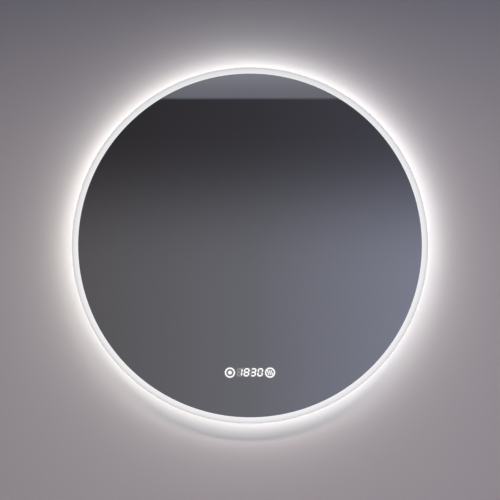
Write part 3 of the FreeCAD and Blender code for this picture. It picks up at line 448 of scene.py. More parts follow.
class Wire:
    """A number that varies over a surface: an output socket that ordinary arithmetic works on."""

    def __init__(self, graph: Graph, socket: bpy.types.NodeSocket) -> None:
        """Keeps the socket and the nodes that it belongs to."""
        self.graph = graph
        self.socket = socket

    def math(self, operation: str, *values: Any) -> Wire:
        """The result of a Math node on some values, which are numbers or wires."""
        node = self.graph.add("ShaderNodeMath", dict(enumerate(values)), operation=operation)
        return Wire(self.graph, node.outputs[0])

    def __add__(self, other: Any) -> Wire:
        """This plus another."""
        return self.math("ADD", self, other)

    def __radd__(self, other: Any) -> Wire:
        """Another plus this."""
        return self.math("ADD", other, self)

    def __sub__(self, other: Any) -> Wire:
        """This less another."""
        return self.math("SUBTRACT", self, other)

    def __rsub__(self, other: Any) -> Wire:
        """Another less this."""
        return self.math("SUBTRACT", other, self)

    def __mul__(self, other: Any) -> Wire:
        """This times another."""
        return self.math("MULTIPLY", self, other)

    def __truediv__(self, other: Any) -> Wire:
        """This over another."""
        return self.math("DIVIDE", self, other)

    def __pow__(self, other: Any) -> Wire:
        """This to a power."""
        return self.math("POWER", self, other)

    def __abs__(self) -> Wire:
        """This without its sign."""
        return self.math("ABSOLUTE", self)

    def step(self, start: float, end: float) -> Wire:
        """A smooth change from 0 to 1 while this goes from start to end."""
        node = self.graph.add("ShaderNodeMapRange", {"Value": self, "From Min": start, "From Max": end},
                              interpolation_type="SMOOTHSTEP", clamp=True)
        return Wire(self.graph, node.outputs[0])


class Graph:
    """The nodes of one material or of the world."""

    def __init__(self, tree: bpy.types.NodeTree) -> None:
        """Starts with no nodes."""
        self.tree = tree
        self.tree.nodes.clear()

    def add(self, kind: str, inputs: dict[Any, Any] | None = None, **settings: Any) -> bpy.types.Node:
        """Adds a node.

        Args:
            kind: the node's type.
            inputs: by the socket's identifier, name or number, its value, or what is linked to it: a
                wire, an output socket or a node, of which the first output counts.
            settings: the node's own settings, set before the sockets.

        Returns:
            The node.
        """
        node = self.tree.nodes.new(kind)
        for key, value in settings.items():
            setattr(node, key, value)
        for key, value in (inputs or {}).items():
            socket = self.find(node, key)
            if isinstance(value, Wire):
                value = value.socket
            elif isinstance(value, bpy.types.Node):
                value = value.outputs[0]
            if isinstance(value, bpy.types.NodeSocket):
                self.tree.links.new(value, socket)
            else:
                socket.default_value = value
        return node

    @staticmethod
    def find(node: bpy.types.Node, key: Any) -> bpy.types.NodeSocket:
        """The input socket with that identifier, or else with that number or name."""
        matches = [socket for socket in node.inputs if socket.identifier == key]
        return matches[0] if matches else node.inputs[key]

    def place(self) -> bpy.types.NodeSocket:
        """The point on the surface, in the part's own coordinates."""
        return self.add("ShaderNodeTexCoord").outputs["Object"]

    def axes(self) -> tuple[Wire, Wire, Wire]:
        """The point on the surface as three numbers."""
        node = self.add("ShaderNodeSeparateXYZ", {0: self.place()})
        return tuple(Wire(self, socket) for socket in node.outputs)

    def noise(self, scale: float | Point, detail: float = 2, roughness: float = 0.5) -> Wire:
        """Soft noise from 0 to 1.

        Args:
            scale: spots in a metre, alike along each axis or one number for each.
            detail: octaves of finer noise.
            roughness: share of the finer octaves.

        Returns:
            The noise.
        """
        vector = self.place()
        if not isinstance(scale, (int, float)):
            vector = self.add("ShaderNodeMapping", {"Vector": vector, "Scale": scale}).outputs[0]
            scale = 1.0
        node = self.add("ShaderNodeTexNoise",
                        {"Vector": vector, "Scale": scale, "Detail": detail, "Roughness": roughness})
        return Wire(self, node.outputs[0])

    def mix(self, factor: Any, first: Any, second: Any) -> bpy.types.NodeSocket:
        """A colour between two.

        Args:
            factor: 0 gives the first and 1 the second.
            first: a colour, or a socket that gives one.
            second: another.

        Returns:
            The socket with the mixed colour.
        """
        first, second = [(*c, 1) if isinstance(c, tuple) else c for c in (first, second)]
        node = self.add("ShaderNodeMix", {"Factor_Float": factor, "A_Color": first, "B_Color": second},
                        data_type="RGBA")
        return node.outputs[2]

    def scaled(self, colour: bpy.types.NodeSocket, amount: Any) -> bpy.types.NodeSocket:
        """A colour times a number."""
        return self.add("ShaderNodeVectorMath", {0: colour, "Scale": amount}, operation="SCALE").outputs[0]

    def bump(self, height: Wire, depth: float, strength: float) -> bpy.types.NodeSocket:
        """A normal tilted by a height from 0 to 1 that stands for depth."""
        return self.add("ShaderNodeBump",
                        {"Height": height, "Distance": depth, "Strength": strength}).outputs[0]

    def blend(self, factor: Any, first: bpy.types.Node, second: bpy.types.Node) -> bpy.types.Node:
        """A shader between two, where factor 0 gives the first."""
        return self.add("ShaderNodeMixShader", {0: factor, 1: first, 2: second})

    def end(self, shader: bpy.types.Node) -> None:
        """Ends the material in a shader."""
        self.add("ShaderNodeOutputMaterial", {"Surface": shader})

    def surface(self, **sockets: Any) -> None:
        """Ends the material in a Principled surface, whose sockets are named with underscores."""
        self.end(self.add("ShaderNodeBsdfPrincipled", {
            key.replace("_", " "): (*value, 1) if isinstance(value, tuple) else value
            for key, value in sockets.items()}))


def shade(colour: Colour, *factors: float) -> Colour:
    """A colour times one number, or times one for each of its parts."""
    return tuple(c * factor for c, factor in zip(colour, factors * 3))


@dataclass(frozen=True)
class Finish:
    """A finish that a piece can wear.

    Attributes:
        name: the material's name.
        slot: the record's material slot that it stands for; not used.
    """

    name: str
    slot: str

    def paint(self, graph: Graph) -> None:
        """Draws the material's nodes."""
        raise NotImplementedError

    def material(self) -> bpy.types.Material:
        """Makes the material when it is first asked for.

        Returns:
            The material.
        """
        found = bpy.data.materials.get(self.name)
        if found is None:
            found = bpy.data.materials.new(self.name)
            found.use_nodes = True
            self.paint(Graph(found.node_tree))
        return found

    def dress(self, obj: Piece) -> None:
        """Gives an object this finish all over."""
        obj.data.materials.clear()
        obj.data.materials.append(self.material())


@dataclass(frozen=True)
class Coat(Finish):
    """Two shades in soft patches, over a fine relief.

    Attributes:
        shades: the shade where the patches' noise is low, and the one where it is high.
        patches: that noise's scale, octaves and their share, as Graph.noise takes them.
        relief: the same of the relief's noise.
        depth: how deep the relief is.
        strength: how much of the relief shows.
        roughness: the middle of the roughness.
        swings: how much the roughness follows the relief and the patches.
        band: the values of the patches' noise between which the shade changes, if not all of them.
        metallic: 1 for metal.
    """

    shades: tuple[Colour, Colour]
    patches: tuple[Any, ...]
    relief: tuple[Any, ...]
    depth: float
    strength: float
    roughness: float
    swings: Pair = (0, 0)
    band: Pair | None = None
    metallic: float = 0.0

    def paint(self, graph: Graph) -> None:
        """Draws the two noises and what follows them.

        Args:
            graph: the material's nodes.
        """
        patches, relief = graph.noise(*self.patches), graph.noise(*self.relief)
        roughness = self.roughness
        for noise, swing in zip((relief, patches), self.swings):
            if swing:
                roughness = roughness + (noise - 0.5) * swing
        factor = patches.step(*self.band) if self.band else patches
        graph.surface(Base_Color=graph.mix(factor, *self.shades), Metallic=self.metallic,
                      Roughness=roughness, Normal=graph.bump(relief, self.depth, self.strength))


def moulding(name: str, slot: str, colour: Colour, roughness: float = 0.5) -> Coat:
    """Moulded plastic with a fine spark-eroded grain and a faint change of shade."""
    return Coat(name, slot, (shade(colour, 0.9), colour), (40, 2), (2200, 2), 0.03 * MM, 0.6,
                roughness, (0.15, 0))


def zinc_coat(name: str, slot: str, colour: Colour, roughness: float) -> Coat:
    """Zinc-plated steel with rolling marks along X, a faint blue passivation and small stains."""
    return Coat(name, slot, (colour, shade(colour, 0.88, 0.94, 1.04)), (28, 4, 0.6),
                ((12, 1500, 1500), 3), 0.02 * MM, 0.5, roughness, (0.25, 0.15), (0.35, 0.7), 1.0)


@dataclass(frozen=True)
class CellFoam(Finish):
    """Closed-cell foam with small pores."""

    colour: Colour = (0.09, 0.09, 0.095)

    def paint(self, graph: Graph) -> None:
        """Foam with pores half a millimetre across, painted darker in their dips as shade.

        Args:
            graph: the material's nodes.
        """
        cells = graph.add("ShaderNodeTexVoronoi", {"Vector": graph.place(), "Scale": 1800.0})
        pore = Wire(graph, cells.outputs[0])
        # The pores' centres, which the relief sinks, are painted darker than the cell walls: painted shade
        # in the pores.
        graph.surface(Base_Color=graph.mix(pore.step(0.1, 0.8), self.colour, shade(self.colour, 1.7)),
                      Roughness=0.9, Normal=graph.bump(pore, 0.15 * MM, 0.7))


@dataclass(frozen=True)
class CircuitBoard(Finish):
    """Solder mask over copper tracks."""

    mask: Colour = (0.02, 0.12, 0.06)
    track: Colour = (0.05, 0.22, 0.11)
    lanes: float = 420

    def paint(self, graph: Graph) -> None:
        """Mask with the tracks under it a little raised and paler.

        Args:
            graph: the material's nodes.
        """
        z = graph.axes()[2]
        lanes = z.math("PINGPONG", z * self.lanes, 1.0)
        breaks = graph.noise((60, 60, 300), 1)
        copper = lanes.step(0.45, 0.6) * breaks.step(0.45, 0.5)
        graph.surface(Base_Color=graph.mix(copper, self.mask, self.track), Roughness=0.35,
                      Normal=graph.bump(copper, 0.035 * MM, 0.8))


@dataclass(frozen=True)
class HeatingFilm(Finish):
    """Clear film over a heating track that runs to and fro."""

    film: Colour = (0.52, 0.40, 0.22)
    track: Colour = (0.20, 0.17, 0.13)
    pitch: float = 9 * MM

    def paint(self, graph: Graph) -> None:
        """Film with level tracks at an even pitch.

        Args:
            graph: the material's nodes.
        """
        z = graph.axes()[2]
        lane = abs(z.math("FRACT", z / self.pitch) - 0.5)
        dark = lane.step(0.16, 0.1)
        graph.surface(Base_Color=graph.mix(dark, self.film, self.track), Roughness=0.3,
                      Metallic=dark * 0.5, Coat_Weight=0.6)


@dataclass(frozen=True)
class Silvering(Finish):
    """The silvered face of float glass, through which a little of the marks' light spreads.

    Attributes:
        keys: (x, z) of the middles of the touch keys.
        clock: (x, z) of the middle of the clock.
        clock_half: half the width and height of the clock.
        clock_share: how bright the spread round the clock is against that round the keys.
        spread: how much light spreads round the keys.
    """

    keys: tuple[Pair, ...] = ()
    clock: Pair = (0, 0)
    clock_half: Pair = (0.022, 0.0072)
    clock_share: float = 0.45
    spread: float = 0.10
    colour: Colour = (0.90, 0.905, 0.905)

    def paint(self, graph: Graph) -> None:
        """A clear mirror whose silver is a touch uneven, with a faint glow where it is lit from behind.

        Args:
            graph: the material's nodes.
        """
        cloud = graph.noise(6, 2)
        x, _, z = graph.axes()
        across, up = [abs(axis - middle).step(half + 1.5 * MM, half - 1 * MM)
                      for axis, middle, half in zip((x, z), self.clock, self.clock_half)]
        glow = across * up * self.clock_share
        for key_x, key_z in self.keys:
            across, up = x - key_x, z - key_z
            away = (across * across + up * up) ** 0.5
            glow = glow + away.step(11.0 * MM, 8.0 * MM)
        graph.surface(Base_Color=graph.mix(cloud, shade(self.colour, 0.985), self.colour),
                      Metallic=1.0, Roughness=0.004, Emission_Strength=1.0,
                      Emission_Color=graph.mix(glow * self.spread, (0.0, 0.0, 0.0), (1.0, 1.0, 1.0)))


@dataclass(frozen=True)
class PolishedEdge(Finish):
    """The polished edge of the glass, which carries light from the rim beside it."""

    colour: Colour = (0.30, 0.38, 0.36)
    glow: float = 0.10

    def paint(self, graph: Graph) -> None:
        """Pale green glass, lit from the rim."""
        graph.surface(Base_Color=graph.mix(graph.noise(500, 2), self.colour, shade(self.colour, 1.1)),
                      Roughness=0.12, Emission_Color=(0.93, 1.0, 0.98), Emission_Strength=self.glow,
                      Coat_Weight=1.0)


@dataclass(frozen=True)
class LitOpal(Finish):
    """Opal acrylic lit from inside: brightest beside the light strip and beside the glass.

    Attributes:
        middle: centre of the disc.
        inner: radius where the rim's front face starts.
        outer: radius of the rim.
        front: y of the rim's front.
        back: y of the rim's back edge.
    """

    middle: Point = (0, 0, 0)
    inner: float = 0.29
    outer: float = 0.3
    front: float = -0.044
    back: float = -0.01
    face_light: float = 0.65
    edge_light: float = 0.49
    seam_light: float = 0.72
    side_light: float = 0.84
    inner_light: float = 0.62
    colour: Colour = (0.42, 0.42, 0.42)

    def paint(self, graph: Graph) -> None:
        """Gloss over a glow that follows the distance from the disc's centre and from the wall.

        Args:
            graph: the material's nodes.
        """
        x, y, z = graph.axes()
        across, up = x - self.middle[0], z - self.middle[2]
        radius = (across * across + up * up) ** 0.5
        seam = radius.step(self.inner + 2.0 * MM, self.inner + 0.6 * MM)
        falling = radius.step(self.inner + 3.5 * MM, self.outer - 0.6 * MM)
        face = self.face_light + seam * (self.seam_light - self.face_light)
        face = face + falling * (self.edge_light - self.face_light)
        side = y.step(self.front + 1.5 * MM, self.back - 6 * MM)
        light = face + side * (self.side_light - face)
        inside = (radius.step(self.outer - 1.2 * MM, self.outer - 2.2 * MM)
                  * y.step(self.front + 1 * MM, self.front + 3 * MM))
        light = light + inside * (self.inner_light - light)
        white = graph.mix(graph.noise(60, 2), (0.97, 0.985, 1.0), (1.0, 1.0, 1.0))
        graph.surface(Base_Color=self.colour, Roughness=0.28,
                      Emission_Color=graph.scaled(white, light), Emission_Strength=1.0)


@dataclass(frozen=True)
class Glow(Finish):
    """A lit window, such as a digit's bar or a touch icon."""

    colour: Colour = (1.0, 1.0, 1.0)
    light: float = 1.0

    def paint(self, graph: Graph) -> None:
        """Even light with a faint unevenness."""
        graph.surface(Base_Color=(0.3, 0.3, 0.3), Roughness=0.2, Emission_Strength=self.light,
                      Emission_Color=graph.mix(graph.noise(700, 1), shade(self.colour, 0.94), self.colour))


class Finishes:
    """Every finish of the mirror."""

    # Baked powder paint on sheet steel, with a fine orange peel and faint cloudiness.
    white_steel = Coat("white_powder_coat", "white_steel", (shade((0.80, 0.80, 0.79), 0.93),
                       (0.80, 0.80, 0.79)), (9, 3), (1100, 2), 0.05 * MM, 0.5, 0.42, (0, 0.12))
    zinc = zinc_coat("zinc_plate", "zinc_steel", (0.60, 0.62, 0.64), 0.33)
    screw = zinc_coat("screw_zinc", "screw_steel", (0.66, 0.65, 0.62), 0.3)
    grey_plastic = moulding("grey_moulding", "grey_plastic", (0.30, 0.31, 0.33))
    white_plastic = moulding("white_moulding", "white_plastic", (0.80, 0.80, 0.77), 0.45)
    black_plastic = moulding("black_moulding", "black_plastic", (0.02, 0.02, 0.022), 0.4)
    clear_plastic = moulding("frosted_guide", "clear_plastic", (0.78, 0.82, 0.85), 0.25)
    strip_board = moulding("strip_board", "strip_board", (0.84, 0.84, 0.81), 0.35)
    # Matt black rubber with a dusty bloom in soft patches.
    rubber = Coat("black_rubber", "rubber", ((0.035, 0.035, 0.037), (0.065, 0.065, 0.067)),
                  (160, 4, 0.6), (1400, 2), 0.04 * MM, 0.5, 0.72, (0, 0.2), (0.4, 0.75))
    # The soft jacket of a flat lead, with a faint ripple from its extrusion and painted shade in the
    # ripple's dips.
    jacket = Coat("lead_jacket", "lead_jacket", (shade((0.83, 0.83, 0.81), 0.9), (0.83, 0.83, 0.81)),
                  (300, 2), (300, 2), 0.05 * MM, 0.4, 0.5)
    # Grey protective paint over the silver, rolled on in faint lines, with a painted highlight on their
    # ridges.
    backing = Coat("backing_paint", "mirror_glass", ((0.16, 0.17, 0.18), shade((0.16, 0.17, 0.18), 1.2)),
                   ((900, 40, 40), 3), ((900, 40, 40), 3), 0.02 * MM, 0.5, 0.5)
    foam = CellFoam("cell_foam", "foam")
    board = CircuitBoard("green_board", "circuit_board")
    film = HeatingFilm("heating_film", "heating_film")
    glass_edge = PolishedEdge("polished_glass_edge", "mirror_glass")
    phosphor = Glow("phosphor", "led_package", (1.0, 0.98, 0.94), 5.0)
    lit = Glow("lit_window", "led_package", (1.0, 1.0, 1.0), 1.05)
    # The unlit bars and the colon get a faint painted glow, so that they show dimly though they are not lit.
    unlit = Glow("unlit_window", "led_package", (0.97, 1.0, 1.03), 0.15)
    colon = Glow("faint_window", "led_package", (0.97, 1.0, 1.03), 0.11)


BY_NODE: dict[str, Finish] = {node: finish for finish, nodes in (
    (Finishes.foam, "glass_tape driver_tape module_gasket demister_tab"),
    (Finishes.white_steel, "back_pan access_plate"),
    (Finishes.strip_board, "led_tape"),
    (Finishes.phosphor, "led_packages"),
    (Finishes.grey_plastic, "strip_joint cord_clamp terminal_block strip_lead_clip module_lead_clip"),
    (Finishes.rubber, "strip_bush wall_bumpers cable_grommet"),
    (Finishes.zinc, "upper_stiffener lower_stiffener wall_rail hook_rail"),
    (Finishes.screw, "access_screw"),
    (Finishes.white_plastic, "terminal_box led_driver module_socket module_plug"),
    (Finishes.black_plastic, "module_housing module_lid clock_display"),
    (Finishes.clear_plastic, "touch_light_guides"),
    (Finishes.board, "module_board"),
    (Finishes.film, "demister_pad"),
    (Finishes.jacket, "strip_lead mains_lead demister_lead module_lead"),
) for node in nodes.split()}


def keep(obj: Piece, finish: Finish, *nodes: str, body: str = "mirror") -> None:
    """Finishes a new piece, ties it to its body and hides the nodes that it stands for.

    Args:
        obj: the new piece.
        finish: what it wears.
        nodes: the nodes that it stands for.
        body: the body that it rides on.
    """
    finish.dress(obj)
    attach(obj, body)
    if nodes:
        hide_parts(*nodes)
    log.info("%s: %d faces, on %s", obj.name, len(obj.data.polygons), body)


# ------------------------------------------------------------------------------------- the object


@dataclass(frozen=True)
class Disc:
    """Where the disc is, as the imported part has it.

    Attributes:
        middle: centre of the disc on the wall plane.
        rim_radius: outside of the rim.
        rim_front: y of the rim's front.
        rim_back: y of the rim's edge near the wall.
        glass_radius: outside of the glass.
        glass_front: y of the glass's front.
        glass_back: y of the glass's back.
    """

    middle: Vector
    rim_radius: float
    rim_front: float
    rim_back: float
    glass_radius: float
    glass_front: float
    glass_back: float

    @classmethod
    def packed(cls) -> Disc:
        """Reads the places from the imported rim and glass.

        Returns:
            The disc's places.
        """
        rim, rim_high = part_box("diffuser_rim")
        glass, glass_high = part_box("mirror_glass")
        return cls(Vector((0, 0, rim_high.z - rim_high.x)), min(-rim.x, rim_high.x), rim.y, rim_high.y,
                   min(-glass.x, glass_high.x), glass.y, glass_high.y)


@dataclass
class MirrorGlass:
    """The silvered disc and its polished edge."""

    disc: Disc
    arris: float = 0.8 * MM
    recess: float = 0.05 * MM
    steps: int = 256

    def build(self) -> None:
        """Makes the silvered face and the edge round it, which stand for the glass."""
        disc = self.disc
        inner, outer = disc.glass_radius - self.arris, disc.glass_radius
        clock = (0, centre("touch_light_guides")[1] + CLOCK_LIFT)
        face = turned("mirror_face", slab(0, inner, disc.glass_front + self.recess, disc.glass_back),
                      disc.middle, self.steps)
        keep(smoothed(face), Silvering("silvering", "mirror_glass", key_places(), clock), "mirror_glass")
        face.data.materials.append(Finishes.backing.material())
        for polygon in face.data.polygons:
            polygon.material_index = 1 if polygon.normal.y > 0.5 else 0
        edge = turned("glass_edge",
                      [(inner, disc.glass_front), (outer, disc.glass_front + self.arris),
                       (outer, disc.glass_back), (inner, disc.glass_back), (inner, disc.glass_front)],
                      disc.middle, self.steps)
        keep(smoothed(edge), Finishes.glass_edge, "mirror_glass")


@dataclass
class OpalRim:
    """The lit rim with its rebate for the glass and its rounded front edge."""

    disc: Disc
    side_gap: float = 0.4 * MM
    wall: float = 3 * MM
    ledge_width: float = 13 * MM
    ledge: float = 3 * MM
    tape: float = 1 * MM
    rounding: float = 2.2 * MM
    small: float = 0.4 * MM
    steps: int = 256

    def build(self) -> None:
        """Makes the rim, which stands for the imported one."""
        disc, small = self.disc, self.small
        rebate = disc.glass_radius + self.side_gap
        ledge_front = disc.glass_back + self.tape
        ledge_back = ledge_front + self.ledge
        ledge_inner = disc.glass_radius - self.ledge_width
        outer, front, back = disc.rim_radius, disc.rim_front, disc.rim_back
        inside = outer - self.wall
        round_middle = (outer - self.rounding, front + self.rounding)
        profile = [(outer, back - small), (outer, round_middle[1])]
        profile += arc(round_middle, self.rounding, 0, -90, 6)[1:]
        profile += arc((rebate + small, front + small), small, -90, -180, 3)
        profile += [(rebate, ledge_front), (ledge_inner, ledge_front), (ledge_inner, ledge_back),
                    (inside, ledge_back), (inside, back - small), (inside + small, back),
                    (outer - small, back), profile[0]]
        rim = turned("opal_rim", profile, disc.middle, self.steps)
        finish = LitOpal("lit_opal", "opal_acrylic", tuple(disc.middle), rebate, outer, front, back)
        keep(smoothed(rim, 25), finish, "diffuser_rim")


class Bar(Enum):
    """The seven bars of a clock digit, as ends on a grid one unit wide and two high, from its middle."""

    TOP = ((-0.5, 1), (0.5, 1))
    MIDDLE = ((-0.5, 0), (0.5, 0))
    BOTTOM = ((-0.5, -1), (0.5, -1))
    UPPER_LEFT = ((-0.5, 0), (-0.5, 1))
    LOWER_LEFT = ((-0.5, -1), (-0.5, 0))
    UPPER_RIGHT = ((0.5, 0), (0.5, 1))
    LOWER_RIGHT = ((0.5, -1), (0.5, 0))


LIT_BARS: dict[str, set[Bar]] = {
    "1": {Bar.UPPER_RIGHT, Bar.LOWER_RIGHT},
    "8": set(Bar),
    "3": set(Bar) - {Bar.UPPER_LEFT, Bar.LOWER_LEFT},
    "0": set(Bar) - {Bar.MIDDLE},
}


@dataclass
class ClockFace:
    """The clock that shines through the glass: four leaning digits and a faint colon.

    Attributes:
        time: the digits that it shows.
        bar: thickness of a bar.
        slant: how much the digits lean, as a share of their height.
        short: how far a bar stops short of its corner, as a share of its thickness.
    """

    disc: Disc
    time: str = "1830"
    pitch: float = 11.5 * MM
    width: float = 7.0 * MM
    height: float = 11.7 * MM
    bar: float = 2.15 * MM
    slant: float = 0.12
    short: float = 0.62

    def bar_corners(self, bar: Bar, middle: Pair) -> Line:
        """The outline of one bar, pointed at both ends.

        Args:
            bar: which bar.
            middle: (x, z) of the digit's middle.

        Returns:
            Its corners as (x, z).
        """
        (x0, z0), (x1, z1) = [(x * self.width, z * self.height / 2) for x, z in bar.value]
        level = z0 == z1
        half, short = self.bar / 2, self.bar * self.short
        length = (x1 - x0) if level else (z1 - z0)
        ends = [(short - half, 0), (short, half), (length - short, half),
                (length + half - short, 0), (length - short, -half), (short, -half)]
        corners = []
        for ahead, aside in ends:
            x, z = (x0 + ahead, z0 + aside) if level else (x0 + aside, z0 + ahead)
            corners.append((middle[0] + x + z * self.slant, middle[1] + z))
        return corners

    def build(self) -> None:
        """Makes the lit bars, the unlit bars and the colon."""
        front = self.disc.glass_front
        middle_z = centre("clock_display")[1] + CLOCK_LIFT
        # The unlit bars and the colon wear a faint painted glow.
        finishes = {"clock_digits": Finishes.lit, "clock_unlit_bars": Finishes.unlit,
                    "clock_colon": Finishes.colon}
        shapes: dict[str, list[Piece]] = {name: [] for name in finishes}
        for place, digit in enumerate(self.time):
            middle = (self.pitch * (place - (len(self.time) - 1) / 2), middle_z)
            for bar in Bar:
                name = "clock_digits" if bar in LIT_BARS[digit] else "clock_unlit_bars"
                shapes[name].append(flat_shape(name, self.bar_corners(bar, middle), front, MARK_DEPTH))
        for side in (-1, 1):
            up = side * self.height / 4
            shapes["clock_colon"].append(turned(
                "colon_dot", slab(0, self.bar / 2, front, front + MARK_DEPTH),
                (up * self.slant, 0, middle_z + up), 16))
        for name, finish in finishes.items():
            keep(joined(name, shapes[name]), finish)


@dataclass
class TouchIcons:
    """The two touch keys: a ring with a dot, and a ring with three waves of rising damp."""

    disc: Disc
    ring_radius: float = 8.45 * MM
    ring_width: float = 2.0 * MM
    dot_radius: float = 3.0 * MM
    wave_pitch: float = 3.1 * MM
    wave_height: float = 7.8 * MM
    wave_swing: float = 0.95 * MM
    wave_width: float = 1.5 * MM
    wave_steps: int = 14

    def ring(self, name: str, place: Pair, inner: float, outer: float) -> Piece:
        """A flat ring at (x, z), or a dot where inner is nothing, on the front of the glass."""
        front = self.disc.glass_front
        return turned(name, slab(inner, outer, front, front + MARK_DEPTH), (place[0], 0, place[1]), 48)

    def wave(self, name: str, x: float, z: float) -> Piece:
        """One upright wave.

        Args:
            name: the object's name.
            x: its middle.
            z: its middle.

        Returns:
            The wave.
        """
        sides: dict[int, Line] = {-1: [], 1: []}
        for k in range(self.wave_steps + 1):
            share = k / self.wave_steps
            swing = math.sin(share * math.tau) * self.wave_swing
            for side in sides:
                sides[side].append((x + swing + side * self.wave_width / 2,
                                    z + (share - 0.5) * self.wave_height))
        return flat_shape(name, sides[1] + sides[-1][::-1], self.disc.glass_front, MARK_DEPTH)

    def build(self) -> None:
        """Makes both icons."""
        left, right = key_places()
        inner = self.ring_radius - self.ring_width
        lamp = [self.ring("lamp_icon", left, inner, self.ring_radius),
                self.ring("lamp_icon", left, 0, self.dot_radius)]
        keep(joined("lamp_icon", lamp), Finishes.lit)
        demist = [self.ring("demist_icon", right, inner, self.ring_radius)]
        demist += [self.wave("demist_icon", right[0] + self.wave_pitch * k, right[1]) for k in (-1, 0, 1)]
        keep(joined("demist_icon", demist), Finishes.lit)


@dataclass
class PanShell:
    """The pressed pan with its rounded bends, stiffening ring, air slots and openings."""

    disc: Disc
    wall_radius: float = 268.5 * MM
    sheet: float = 1 * MM
    back: float = -10 * MM
    bead_inner: float = 232.5 * MM
    bead_outer: float = 246.5 * MM
    bead_height: float = 2 * MM
    vent: Pair = (5 * MM, 34 * MM)
    vent_pitch: float = 12 * MM
    vent_count: int = 9
    vent_rows: Pair = (92 * MM, -98 * MM)
    opening: Pair = (56 * MM, 42 * MM)
    opening_corner: float = 3 * MM
    screw_hole: float = 3.3 * MM
    bush_lap: float = 1.45 * MM
    steps: int = 192

    def build(self) -> None:
        """Turns the pan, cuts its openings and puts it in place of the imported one."""
        low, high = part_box("back_pan")
        flange, front, floor = high.x, low.y, self.back - self.sheet
        inner, bead = self.wall_radius - self.sheet, self.bead_height
        pan = turned("pan_shell", filleted([
            (0, self.back, 0), (self.bead_inner, self.back, 1.5 * MM),
            (self.bead_inner + bead, self.back + bead, 1 * MM),
            (self.bead_outer - bead, self.back + bead, 1 * MM), (self.bead_outer, self.back, 1.5 * MM),
            (self.wall_radius, self.back, 3 * MM), (self.wall_radius, front + self.sheet, 1 * MM),
            (flange, front + self.sheet, 0), (flange, front, 0), (inner, front, 2 * MM),
            (inner, floor, 2 * MM), (self.bead_outer, floor, 0.5 * MM),
            (self.bead_outer - bead, floor + bead, 1 * MM), (self.bead_inner + bead, floor + bead, 1 * MM),
            (self.bead_inner, floor, 0.5 * MM), (0, floor, 0)]), self.disc.middle, self.steps)
        for cutter in self.cutters():
            cut(pan, cutter)
        keep(smoothed(pan), Finishes.white_steel, "back_pan")

    def cutters(self) -> list[Piece]:
        """Makes what is cut out of the pan.

        Returns:
            Two rows of air slots, the wiring opening, the screw's hole and the lead's hole.
        """
        front, depth = self.back - self.sheet * 2, self.sheet * 3
        cutters = []
        for row in self.vent_rows:
            outline = long_hole(0, self.disc.middle.z + row, *self.vent)
            slots = [flat_shape("vent", outline, front, depth)]
            for k in range(1, self.vent_count):
                side = (k + 1) // 2 * (1 if k % 2 else -1)
                slots.append(copied(slots[0], "vent", (side * self.vent_pitch, 0, 0)))
            cutters.append(joined("vents", slots))
        x, z = centre("terminal_box")
        half_x, half_z = self.opening[0] / 2, self.opening[1] / 2
        corners = filleted([(x + i * half_x, z + j * half_z, self.opening_corner)
                            for i, j in ((-1, -1), (1, -1), (1, 1), (-1, 1))], True)
        cutters.append(flat_shape("opening", corners, front, depth))
        outline = long_hole(*centre("access_screw"), self.screw_hole, self.screw_hole)
        cutters.append(flat_shape("screw_hole", outline, front, depth))
        low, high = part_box("strip_bush")
        lap = self.bush_lap
        cutters.append(block("lead_hole", (low.x - 3 * MM, low.y + lap, low.z + lap),
                             (high.x, high.y - lap, high.z - lap)))
        return cutters


